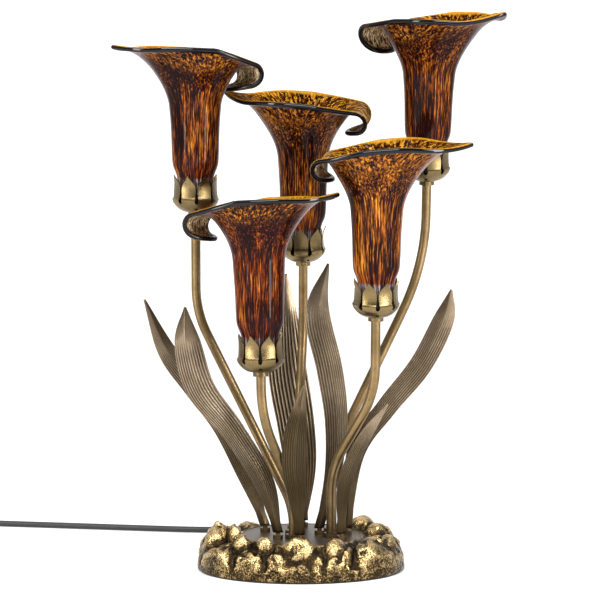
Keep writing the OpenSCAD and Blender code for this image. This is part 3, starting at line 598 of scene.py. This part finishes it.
def cupProfile():
    bowl = curved(bowlSide, 2)
    outside = np.array([*cupFloor, *bowl, *[(r, cup["bowl"] + z) for r, z in petalSide]])
    along = np.gradient(outside, axis=0)
    inside = outside - cup["wall"] * unit(np.stack([along[:, 1], -along[:, 0]], 1))
    inside[0] = (cup["hole"], cup["wall"])
    return outside, inside, len(cupFloor) + len(bowl) - 1


def cupSector():
    outside, inside, waistRow = cupProfile()
    half, slot, bowl = math.pi / cup["petals"], cup["slot"], cup["bowl"]
    widths = np.interp(outside[:, 1] - bowl, *zip(*petalWidths))
    run = np.concatenate([[0], np.cumsum(np.linalg.norm(np.diff(outside, axis=0), axis=1))])
    past = run - (run[waistRow] - cup["slotDrop"])  # how far a row is past the slot's round end
    openRow = int(np.argmax(past > 0)) - 1
    cols = np.linspace(-1, 1, petalCols)

    def row(r, z, angle, flat):
        q = r * mix(1, math.cos(half) * 1.025 / np.cos(angle), flat)
        return np.stack([q * np.sin(angle), -q * np.cos(angle), np.full(len(cols), z)], 1)

    skins = [[], []]
    for k, (r, z) in enumerate(outside):
        d = min(max(past[k], 0), slot)
        wide = widths[k] if z > bowl + 0.01 else r * half - math.sqrt(max(0, slot ** 2 - (slot - d) ** 2))
        flat = 0.6 if z > bowl else 0.4 * float(ease((z - 7) / 5))
        for skin, (rowR, rowZ) in zip(skins, ((r, z), inside[k])):
            skin.append(row(rowR, rowZ, cols * wide / r, flat))
    return np.array(skins).reshape(-1, 3) * mm, sectorFaces(len(outside), petalCols, openRow)


def sectorFaces(rows, cols, openRow):
    under = rows * cols  # the same point on the inner skin
    faces = []
    for i in range(rows - 1):
        for j in range(cols - 1):
            a = i * cols + j
            faces.append((a, a + 1, a + cols + 1, a + cols))
            b = under + a
            faces.append((b, b + cols, b + cols + 1, b + 1))
        if i >= openRow:
            for j in (0, cols - 1):
                a = i * cols + j
                faces.append((a, a + cols, under + a + cols, under + a))
    for i in (0, rows - 1):
        for j in range(cols - 1):
            a = i * cols + j
            faces.append((a, a + 1, under + a + 1, under + a))
    return faces


def ventDrill():
    bm = bmesh.new()
    r, z = cup["ventAt"]
    for k in range(cup["vents"]):
        at = (turned(360 / cup["vents"] * k - halfSector) @ Matrix.Translation((r * mm, 0, z * mm))
              @ turned(cup["ventTilt"], "Y"))
        bmesh.ops.create_cone(bm, cap_ends=True, segments=24, radius1=cup["vent"] / 2 * mm,
                              radius2=cup["vent"] / 2 * mm, depth=cup["ventDepth"] * mm, matrix=at)
    mesh = bpy.data.meshes.new("ventDrill")
    bm.to_mesh(mesh)
    bm.free()
    return addObject("ventDrill", mesh)


def cups():
    points, faces = cupSector()
    whole = rings.grow(makeMesh("cupSector", points, faces, cupBrass), "cupRing",
                       {"Count": cup["petals"], "Paint": cupBrass})
    faceOutwards(whole)
    drill = ventDrill()
    mod = whole.modifiers.new("vents", "BOOLEAN")
    mod.object, mod.operation, mod.solver = drill, "DIFFERENCE", "EXACT"
    mesh = evaluated(whole)
    bpy.data.objects.remove(whole)
    bpy.data.objects.remove(drill)
    for n, flower in enumerate(flowers):
        one = mesh.copy()
        one.name = "cup%d" % (n + 1)
        turn = turned(flower["petalTurn"] + halfSector)
        one.transform(Matrix.Scale(mm, 4) @ headFrame(flower)[0] @ turn @ Matrix.Scale(1 / mm, 4))
        one.materials.clear()
        one.materials.append(cupBrass)
        one.polygons.foreach_set("use_smooth", [True] * len(one.polygons))
        one.set_sharp_from_angle(angle=math.radians(38))
        settle(addObject(one.name, one), "lamp", "brass", "calyx_%d" % (n + 1))


cups()
print("cups made")

# Glass lilies: body, trumpet, and a lip with a pointed tip and a tongue rolled down and under.
# Each has its own height, reach and rise of the tip, arch of the long sides, start, radius and slope
# of the roll, flat end after it, tone and redness of the glass
glass = {"h": 139, "wall": 2.6, "mouth": 46, "ring": 39, "body": 23.5, "bead": 2.1, "swell": 5,
         "rollEnd": 168, "trumpetLow": 0.36, "ringLow": 0.1, "flare": 1.8, "pinch": 1.54, "climb": 1.15,
         "tipClimb": 2.2, "archAt": 70, "archOut": 120, "levelTo": 6, "turnStep": 2.5, "trumpetRows": 18,
         "lipRows": 52, "softAt": 5, "softRows": 26, "softTimes": 30, "flowR": 24, "flowWiden": 14}
glassSide = [(16.5, 0), (16.5, 8), (16.5, 16), (16.6, 22), (17.1, 25.5), (18.3, 29), (19.7, 32.3), (20.8, 36),
             (21.3, 41), (21.6, 49), (22, 64), (22.7, 77)]
beadTurns = [12, 35, 60, 90, 120, 145, 168]
lips = table(
    "taller reach rise arch start radius slope flat tone red",
    (-3, 76, 5, 3.5, 45, 8.7, 16, 16, -0.03, 0.3),
    (0, 71, 8.5, 4.5, 50, 8.7, 6, 11, -0.012, 0.1),
    (3.5, 73.5, 6, 2, 50, 9.3, 12.5, 9, -0.04, 0.75),
    (-2, 83, 10.5, 9.5, 45, 8, 5.5, 6, 0.014, 0.1),
    (-2.5, 80, 12.5, 5.5, 45.5, 11.5, 7, 1, -0.03, 0.3),
)


def tipHalf(e, lip, top, ringZ, ct, st, arch):  # the half that ends in a point
    reach, half, ring = lip["reach"], glass["mouth"], glass["ring"]
    x, y = mix(ring, reach, e) * ct, mix(ring * st, np.sign(st) * half * np.abs(st) ** glass["pinch"], e)
    k = np.maximum(0, reach * ct - half) / (reach - half)
    climb = 1 - (1 - e) ** mix(glass["climb"], glass["tipClimb"], np.maximum(0, ct))
    return np.stack([x, y, mix(ringZ, top + lip["rise"] * k * k + arch, climb)], -1)


def tongueHalf(e, lip, top, ringZ, ct, st, arch):  # the half that rolls down and under
    ring, start, radius, slope = glass["ring"], lip["start"], lip["radius"], lip["slope"]
    sink, tilt = math.tan(math.radians(slope)), math.radians(slope)
    far = start + radius * math.radians(glass["rollEnd"] - slope) + lip["flat"]
    x, y = mix(ring, far, e) * ct, mix(ring, glass["mouth"], e) * st
    level = top - sink * np.maximum(0, np.minimum(start, -x) - glass["levelTo"])
    steep = mix(glass["climb"], 2 * (far - ring) / (start - ring), ct * ct)
    z = mix(ringZ, level + arch, 1 - (1 - e) ** steep)
    past = -start - x  # how far the glass has gone past the start of the roll
    a = np.minimum(np.degrees(past / radius), glass["rollEnd"] - slope)
    b, flat = np.radians(a + slope), past - np.radians(a) * radius
    r = radius + (z - level) * (1 - ease(a / glass["archOut"]))  # the arch fades out in the roll
    cx = -start + radius * math.sin(tilt)
    cz = top - sink * (start - glass["levelTo"]) - radius * math.cos(tilt)
    rolled = np.stack([cx - r * np.sin(b) - flat * np.cos(b), y, cz + r * np.cos(b) - flat * np.sin(b)], -1)
    return np.where((past > 0)[:, None], rolled, np.stack([x, y, z], -1)), ease((past + 5) / 8)


def lipRow(e, lip, top, ringZ, deg):  # e runs from the mouth's round start to the edge of the lip
    ct, st = np.cos(np.radians(deg)), np.sin(np.radians(deg))
    side = np.cos(np.radians(np.minimum(deg, 360 - deg) - glass["archAt"]))
    arch = lip["arch"] * np.maximum(0, side) ** 4
    tip = tipHalf(e, lip, top, ringZ, ct, st, arch)
    tongue, roll = tongueHalf(e, lip, top, ringZ, ct, st, arch)
    isTip = ct >= -1e-9
    return np.where(isTip[:, None], tip, tongue), np.where(isTip, 0, roll)


def lilySkin(lip):
    top = glass["h"] + lip["taller"]
    ringZ, trumpetZ = top - glass["ringLow"] * glass["h"], top - glass["trumpetLow"] * glass["h"]
    deg = np.arange(0, 360, glass["turnStep"])
    t = np.radians(deg)

    def roundRow(r, z):
        return np.stack([r * np.cos(t), r * np.sin(t), np.full_like(t, z)], -1)

    rows = [roundRow(r, z) for r, z in curved([*glassSide, (glass["body"], trumpetZ)], 3)]
    for q in np.linspace(0, 1, glass["trumpetRows"] + 1)[1:]:
        rows.append(roundRow(mix(glass["body"], glass["ring"], q ** glass["flare"]), mix(trumpetZ, ringZ, q)))
    ringRow = len(rows) - 1
    rolls = [0 * t] * len(rows)
    for e in np.linspace(0, 1, glass["lipRows"] + 1)[1:]:
        row, roll = lipRow(e, lip, top, ringZ, deg)
        rows.append(row)
        rolls.append(roll)
    skin = np.array(rows)
    away = np.abs(np.arange(len(skin)) - ringRow - glass["softAt"])
    soft = ease(1 - away / glass["softRows"])[1:-1, None, None]
    for _ in range(glass["softTimes"]):  # the trumpet flows into the lip without a crease
        skin[1:-1] += soft * (0.25 * skin[:-2] - 0.5 * skin[1:-1] + 0.25 * skin[2:])
    return t, skin, np.array(rolls)


def skinNormals(skin):
    u = np.roll(skin, -1, 1) - np.roll(skin, 1, 1)
    v = np.empty_like(skin)
    v[1:-1], v[0], v[-1] = skin[2:] - skin[:-2], skin[1] - skin[0], skin[-1] - skin[-2]
    n = unit(np.cross(u, v), 1e-9)
    for _ in range(3):
        n = unit(0.5 * n + 0.25 * np.roll(n, 1, 1) + 0.25 * np.roll(n, -1, 1), 1e-9)
    return n, unit(v, 1e-9)


def edgeDistance(points, edge):
    dense = np.concatenate([mix(edge, np.roll(edge, -1, 0), k) for k in (0, 0.25, 0.5, 0.75)])
    return np.array([np.sqrt(((row[:, None] - dense[None]) ** 2).sum(-1)).min(1) for row in points])


def lily(n):
    flower, lip = flowers[n], lips[n]
    t, skin, rolls = lilySkin(lip)
    normal, along = skinNormals(skin)
    swell = ease(1 - edgeDistance(skin, skin[-1]) / glass["swell"])[..., None]
    swell = (glass["bead"] - glass["wall"] / 2) * swell
    outer, lining = skin + swell * normal, skin - (glass["wall"] + swell) * normal
    mid = (outer[-1] + lining[-1]) / 2
    bead = [mid + glass["bead"] * (math.cos(h) * normal[-1] + math.sin(h) * along[-1])
            for h in np.radians(beadTurns)]
    rows = np.concatenate([outer, np.array(bead), lining[::-1]])
    many, added = len(skin), len(bead)

    def onAll(values):  # what the skin's rows have, for the bead and the lining too
        return np.concatenate([values, np.repeat(values[-1][None], added, 0), values[::-1]])

    steps = np.linalg.norm(np.diff(skin, axis=0), axis=2)
    length = np.concatenate([np.zeros((1, len(t))), np.cumsum(steps, 0)])
    radius = onAll(glass["flowR"] + glass["flowWiden"] * ease((length - 100) / 50))
    flow = np.stack([radius * np.cos(t), radius * np.sin(t), onAll(length)], -1) * mm
    flow[many + added:, :, 2] += 0.4  # metres, so that the lining and each glass have their own pattern
    flow[..., 2] += 0.31 * n
    rim = edgeDistance(rows, mid)
    inner, black = np.zeros(rim.shape), np.zeros(rim.shape)
    edge = many + 5  # the bead's first five rows are black, and the lining's colours start after them
    inner[edge:] = 1
    black[:many] = 1 - ease((rim[:many] - 2.5) / 0.9)
    black[many:edge] = 1
    black[edge] = 0.6
    layers = {"flow": flow.reshape(-1, 3), "rim": rim.ravel() * mm, "height": rows[..., 2].ravel() * mm,
              "inner": inner.ravel(), "bead": black.ravel(), "roll": onAll(rolls).ravel(),
              "tone": np.full(rim.size, lip["tone"]), "red": np.full(rim.size, lip["red"])}
    seat = Matrix.Translation((0, 0, cup["seat"]))
    matrix = np.array(headFrame(flower)[0] @ seat @ turned(flower["glassTurn"]))
    points = (rows.reshape(-1, 3) @ matrix[:3, :3].T + matrix[:3, 3]) * mm
    piece = makeMesh("lily%d" % (n + 1), points, gridFaces(len(rows), len(t), True), lilyGlass, layers)
    settle(piece, "lamp", "lily_glass", "shade_%d" % (n + 1))


for n in range(len(lips)):
    lily(n)
print("lilies made")

# Leaves: turn, fold, how much painted shade the channels between the ribs take, middle line with widths,
# and painted shade from the foot to the tip
leafSize = {"t": 1.3, "footT": 1.8, "ribs": 11, "rib": 0.75, "ribEnd": 0.86, "border": 0.12, "foot": 38,
            "footWidth": 9.5, "tipWidth": 1.6}
paintedShadeAlongAt = [0, 0.25, 0.5, 0.8, 1]
leaves = table(
    "turn fold grooves line dusk",
    (14, 3, 0.8, [(-33, 13, 0, 6), (-50, 18, 84, 17), (-72, 22, 130, 20), (-98, 25, 165, 21),
                  (-124, 28, 199, 17), (-144.5, 30, 246, 2)], (0.9, 0.85, 0.6, 0.6, 0.7)),
    (-10, 5, 0.8, [(-21, -22, 0, 6), (-34, -24, 84, 19), (-62, -25, 131, 22), (-91, -25, 169, 27),
                   (-103, -24, 212, 24), (-104.5, -23, 244, 2)], (0.97, 0.8, 0.1, 0.5, 0.85)),
    (0, 3, 1.0, [(2, 39, 0, 6), (0, 43, 86, 28), (-5, 52, 128, 35), (-13, 65, 178, 36),
            (-15, 74, 228, 23), (-14, 78, 266, 2)], (0.95, 0.75, 0.4, 0.2, 0.4)),
    (8, 5, 0.8, [(-1, -34, 0, 6), (-4, -39, 78, 17), (-6, -41, 102, 22), (-5, -41, 128, 21),
            (-1.5, -41, 151, 14), (3, -41, 175, 2)], (1.0, 0.97, 0.92, 0.92, 0.8)),
    (18, 5, 0.8, [(17, 0, 0, 6), (30, 1, 90, 16), (33, 3, 138, 22), (27, 9, 184, 25),
                  (16, 17, 236, 23), (25, 20, 280, 2)], (0.95, 0.8, 0.45, 0.35, 0.6)),
    (-14, 4, 0.8, [(42, 0, 0, 6), (50, 0, 108, 17), (78, 0, 150, 19), (109, 0, 189, 21),
                   (130, 0, 231, 19), (137, 0, 258, 2)], (0.95, 0.85, 0.5, 0.4, 0.35)),
    (26, 4, 0.8, [(37, -27, 0, 6), (38, -28, 70, 12), (42, -29, 90, 15), (50, -31, 111, 15),
                  (62, -33, 133, 12), (78, -34, 157, 2)], (1.0, 0.9, 0.8, 0.6, 0.4)),
)


def leafLine(shape):  # middle points, the leaf's three directions there, and its width
    (x, y, _, footWide), *rest = shape["line"]
    centre = curved([(x, y, leafSize["foot"], footWide), *rest], 20)
    k = np.linspace(0, 1, len(centre))
    middle, width = centre[:, :3], np.maximum(leafSize["tipWidth"], centre[:, 3])
    width = np.maximum(width, leafSize["footWidth"] * (1 - ease(2.5 * k)))
    way = unit(np.gradient(middle, axis=0))
    way = unit(mix(np.array([0, 0, 1.0]), way, ease(4 * k)[:, None]))
    a = math.radians(shape["turn"])
    normal = unit(np.cross(np.broadcast_to(np.array([math.cos(a), math.sin(a), 0]), way.shape), way))
    return k, middle, normal, np.cross(way, normal), width


def leaf(n):
    shape = leaves[n]
    k, middle, normal, across, width = leafLine(shape)
    steps, lanes = len(k), 8 * leafSize["ribs"] + 1
    s = np.linspace(-1, 1, lanes)
    deep = shape["fold"] * np.minimum(1, width / 20)
    ribbed = ease(4 * k) * ease(7 * (leafSize["ribEnd"] - k))  # the foot and the tip are plain
    wave = 0.5 + 0.5 * np.cos(math.pi * leafSize["ribs"] * (s + 1))
    shadedGroove = np.outer(ribbed, (1 - wave) ** 1.3 * ease((1 - np.abs(s)) / leafSize["border"]))
    lift = deep[:, None] * (0.5 - np.abs(s)[None] ** 1.2) - shadedGroove * leafSize["rib"]
    front = (middle[:, None] + across[:, None] * (s[None, :, None] * width[:, None, None] / 2)
             + normal[:, None] * lift[..., None])
    thick = mix(leafSize["footT"] / 2, leafSize["t"] / 2, ease(3 * k))[:, None, None] * normal[:, None]
    edge = np.maximum(0, 1 - ((1 - np.abs(s)) / 0.03))[None, :, None] * 0.5
    top, under = front + thick * (1 - edge), front - thick * (1 - edge)
    rows = np.concatenate([top, under[:, ::-1]], 1)
    # painted shade: a dark fold line down the lower middle of the folded leaves, joined with the darkened
    # channels between the ribs
    creaseShade = np.outer(ease((0.55 - k) * 5), np.maximum(0, 1 - np.abs(s) / 0.07)) * (shape["fold"] > 3)
    dark = np.maximum(np.minimum(1, 1.35 * shadedGroove) * shape["grooves"], creaseShade * 0.8)
    wide = 2 * lanes
    # painted shade along the leaf, from the foot to the tip
    dusk = np.repeat(np.interp(k, paintedShadeAlongAt, shape["dusk"])[:, None], wide, 1)
    faces = [tuple(q) for q in gridFaces(steps, wide, False)]
    last = (steps - 1) * wide
    for i in range(lanes - 1):
        faces.append((i, i + 1, wide - 2 - i, wide - 1 - i))
        faces.append((last + i + 1, last + i, last + wide - 1 - i, last + wide - 2 - i))
    layers = {"shadedGroove": np.concatenate([dark, dark[:, ::-1]], 1).ravel(), "dusk": dusk.ravel()}
    piece = makeMesh("leaf%d" % (n + 1), rows.reshape(-1, 3) * mm, faces, leafBrass, layers)
    faceOutwards(piece)
    settle(piece, "lamp", "brass", "leaf_%d" % (n + 1))


for n in range(len(leaves)):
    leaf(n)
print("leaves made")

# Base, with its rocks: middle, half sizes, turn
base = {"len": 190, "dep": 142, "wall": 3.5, "low": 1.6, "lip": 5, "gap": 0.25, "core": 0.42, "coreZ": 6.0,
        "insideR": 30, "tallR": 12.0, "power": 1.7, "cols": 540, "rows": 90, "soft": 3, "around": 70,
        "facets": [(0.24, 13, 5), (0.15, 6, 8)]}  # depth, size and seed of the chisel marks
rocks = [
    [(-76, -3, 4), (16, 24, 40), 0], [(-59, -8, 36), (7.5, 7.5, 7), 0], [(-54, 8, 20), (9, 12, 12), 0],
    [(-52, -36, 28), (10, 10, 9.6), 0], [(-32, -46, 29), (9, 8.4, 9), 0],
    [(-1.4, -52, 21), (18, 14, 20.5), 0], [(-68, -28, 0), (27, 26, 28), 38],
    [(-46, -46, 0), (19, 24, 28.5), 20], [(-20, -50, 0), (18, 22, 28.5), 5], [(2, -53, 0), (15, 19, 26), 0],
    [(15, -50, 0), (12, 22, 28), -4], [(28, -54, 0), (13, 18, 25), 0], [(30, -48, 6), (15, 17, 32), -12],
    [(40, -48, 0), (11, 21, 30), -22], [(62, -34, 0), (23, 27, 34.5), -30],
    [(79, -8, 0), (15.5, 34, 33), -6], [(70, -1, 8), (18, 16, 24), 0], [(70, 20, 0), (23, 22, 38), 20],
    [(57, 37, 10), (20, 18, 33), 30], [(41, 46, 0), (19, 20, 34), 20], [(23, 52, 0), (20, 18, 30), 8],
    [(0, 55, 0), (22, 16, 30), 0], [(-24, 52, 0), (20, 18, 31), -8], [(-48, 43, 0), (22, 20, 36), -30],
    [(-66, 28, 0), (22, 22, 35), -38], [(-80, 12, 0), (16, 23, 34), -10],
    [(-42, 35, 20), (12, 11, 14), -30],
]


def rockReach(origin, way, rock):  # how far a ray from inside the ring goes until it leaves the rock
    centre, half, turn = rock
    c, s = math.cos(math.radians(turn)), math.sin(math.radians(turn))

    def local(v):
        return np.stack([(v[..., 0] * c + v[..., 1] * s) / half[0], (v[..., 1] * c - v[..., 0] * s) / half[1],
                         v[..., 2] / half[2]], -1)

    o, d = local(origin - np.array(centre, float)), local(way)
    a, b, q = (d * d).sum(-1), (o * d).sum(-1), (o * o).sum(-1) - 1
    room = b * b - a * q
    return np.where(room > 0, (-b + np.sqrt(np.maximum(room, 0))) / a, 0)


def relaxed(skin, times):
    for _ in range(times):
        skin[1:-1] = 0.5 * skin[1:-1] + 0.125 * (skin[2:] + skin[:-2] + np.roll(skin, 1, 1)[1:-1]
                                                 + np.roll(skin, -1, 1)[1:-1])
    return skin


def chiselled(points, size, seed):  # flat facets: each point takes the tilted plane of the nearest seed
    rng = np.random.default_rng(seed)
    flat = points.reshape(-1, 3)
    low, high = flat.min(0) - size, flat.max(0) + size
    seeds = rng.uniform(low, high, (int(np.prod((high - low) / size) * 1.2), 3))
    tilt = unit(rng.normal(size=seeds.shape))
    tree = KDTree(len(seeds))
    for k, q in enumerate(seeds):
        tree.insert(q, k)
    tree.balance()
    near = np.array([tree.find(q)[1] for q in flat])
    return ((flat - seeds[near]) * tilt[near]).sum(1).reshape(points.shape[:-1])


def castSkin(out, outer, recess):  # the outer skin, and how high each point stands over its surroundings
    up = np.array([0, 0, 1.0])
    coreR, coreZ = mix(recess, outer, base["core"]), base["coreZ"]
    edge = np.stack([recess - coreR, np.full(base["cols"], plate["top"] + 0.4 - coreZ)], 1)
    foot = np.stack([outer - coreR, np.full(base["cols"], base["low"] - coreZ)], 1)
    k = np.linspace(0, 1, base["rows"])[:, None]
    psi = mix(np.arctan2(edge[:, 0], edge[:, 1])[None], np.arctan2(foot[:, 0], foot[:, 1])[None], k)
    way = np.sin(psi)[..., None] * out[None] + np.cos(psi)[..., None] * up
    origin = coreR[:, None] * out + coreZ * up
    wideR, power = (outer - coreR)[None], base["power"]
    across = np.abs(np.sin(psi)) / np.where(psi > 0, wideR, base["insideR"])
    upright = np.abs(np.cos(psi)) / np.where(psi < math.pi / 2, base["tallR"], base["insideR"])
    reach = (across ** power + upright ** power) ** (-1 / power)
    for rock in rocks:
        hit = rockReach(np.broadcast_to(origin, way.shape), way, rock)
        reach = np.maximum(hit, reach) + 0.25 * np.maximum(0, 1 - np.abs(hit - reach) / 1.2) ** 2
    points = origin[None] + reach[..., None] * way
    facets = sum(depth * chiselled(points, size, seed) for depth, size, seed in base["facets"])
    reach = reach + ease(reach / 12 - 0.3) * facets
    reach = np.minimum(reach, np.where(psi > 0.5, wideR / np.maximum(0.2, np.sin(psi)), 99))
    reach = mix(np.linalg.norm(edge, axis=1)[None], reach, ease(k / 0.08))
    reach = mix(reach, np.linalg.norm(foot, axis=1)[None], ease((k - 0.86) / 0.14))
    skin = origin[None] + reach[..., None] * way
    skin[..., :2] *= np.maximum(1, recess / np.hypot(skin[..., 0], skin[..., 1]))[..., None]
    skin = relaxed(skin, base["soft"])
    bulge = ((skin - relaxed(skin.copy(), base["around"])) * way).sum(-1)
    # the second value, high on raised spots and low in hollows and at the foot, is the mask for the base's
    # wear and its painted highlight and painted shade
    return skin, np.clip(0.44 + bulge * 0.40, 0.12, 1) * (0.8 + 0.2 * ease((skin[..., 2] - 2) / 10))


def baseCasting():
    a = np.radians(np.linspace(0, 360, base["cols"], endpoint=False))
    out = np.stack([np.cos(a), np.sin(a), 0 * a], -1)
    outer = 1 / np.sqrt((np.cos(a) / (base["len"] / 2)) ** 2 + (np.sin(a) / (base["dep"] / 2)) ** 2)
    hole, recess = plate["d"] / 2 - base["lip"], plate["d"] / 2 + base["gap"]
    plateLow = plate["top"] - plate["t"]
    skin, high = castSkin(out, outer, recess)

    def ring(r, z):
        return np.stack([r * np.cos(a), r * np.sin(a), np.full(base["cols"], z)], -1)

    head = [ring(hole, plateLow), ring(recess, plateLow)]
    under = [ring(mix(hole, outer - base["wall"], q),
                  mix(base["low"], plateLow - base["wall"], (1 - q ** 4) ** 0.5))
             for q in (1, 0.9, 0.6, 0.25, 0)]
    rows = np.concatenate([np.array(head), skin, np.array(under)])
    layer = np.concatenate([np.zeros((len(head), base["cols"])), high, np.zeros((len(under), base["cols"]))])
    piece = makeMesh("baseCasting", rows.reshape(-1, 3) * mm, gridFaces(len(rows), base["cols"], True),
                     castGold, {"high": layer.ravel()})
    faceOutwards(piece)
    settle(piece, "lamp", "base_metal", "base_casting")


baseCasting()
print("base made")

# Pale floor that reaches far to the front, and rises in a round sweep behind the lamp
room = {"side": 12.0, "front": -40.0, "back": 3.2, "rise": 3.0, "top": 9.0, "z": -0.0002, "steps": 16,
        "light": (0.57, 0.57, 0.57), "dark": (0.55, 0.55, 0.55), "grain": 30, "glow": 0.50}


def stagePiece():
    p = Paint("paleFloor")
    grain = p.noise(p.position(), room["grain"], 2, 0.5)
    material = p.finish(p.skin(color=p.colour(room["dark"], room["light"], grain), rough=0.8,
                               glow=(1.0, 1.0, 1.0), glowPower=room["glow"]))
    rise, z = room["rise"], room["z"]
    profile = [(room["front"], z), (room["back"], z)]
    for k in range(1, room["steps"] + 1):
        h = math.radians(90 * k / room["steps"])
        profile.append((room["back"] + rise * math.sin(h), z + rise * (1 - math.cos(h))))
    profile.append((room["back"] + rise, room["top"]))
    points = [(x, y, z) for y, z in profile for x in (-room["side"], room["side"])]
    faces = [(2 * i, 2 * i + 1, 2 * i + 3, 2 * i + 2) for i in range(len(profile) - 1)]
    floor = makeMesh("floor", points, faces, material)


stagePiece()

# Soft lights: place, what each looks at, its width and height, and its power in watts
lights = {
    "keyLeft": ((-1.5, -1.2, 0.8), (0, 0, 0.28), (0.28, 1.6), 22),
    "stripRight": ((1.2, -1.0, 0.7), (0, 0, 0.28), (0.24, 1.5), 24),
    "frontHigh": ((-0.3, -2.0, 2.2), (0, 0, 0.2), (1.6, 0.8), 75),
    "top": ((0, 0.2, 2.6), (0, 0.2, 0), (3.0, 2.6), 40),
    "behind": ((0.0, 2.6, 2.2), (0, 5.5, 0.9), (4.0, 1.2), 110),
}
for name, (at, aim, size, power) in lights.items():
    data = bpy.data.lights.new(name, "AREA")
    data.shape, data.size, data.size_y, data.energy = "RECTANGLE", *size, power
    light = addObject(name, data)
    light.location = at
    light.rotation_euler = (Vector(aim) - Vector(at)).to_track_quat("-Z", "Y").to_euler()

# Sky: dim towards the viewer, so that the glass and the metal stay dark and clear, and brighter behind
sky = {"From Min": -0.75, "From Max": 0.25, "To Min": 0.12, "To Max": 0.50}


def skyShader():
    world = bpy.data.worlds.new("world")
    bpy.context.scene.world = world
    world.use_nodes = True
    tree = world.node_tree
    tree.nodes.clear()
    out, glow = tree.nodes.new("ShaderNodeOutputWorld"), tree.nodes.new("ShaderNodeBackground")
    way, split = tree.nodes.new("ShaderNodeTexCoord"), tree.nodes.new("ShaderNodeSeparateXYZ")
    shade = tree.nodes.new("ShaderNodeMapRange")
    shade.interpolation_type = "SMOOTHSTEP"
    for name, value in sky.items():
        shade.inputs[name].default_value = value
    tree.links.new(way.outputs["Generated"], split.inputs[0])
    tree.links.new(split.outputs[1], shade.inputs["Value"])
    tree.links.new(shade.outputs["Result"], glow.inputs["Strength"])
    tree.links.new(glow.outputs[0], out.inputs["Surface"])


skyShader()
bpy.context.scene.view_settings.view_transform = "Standard"
print("light made")
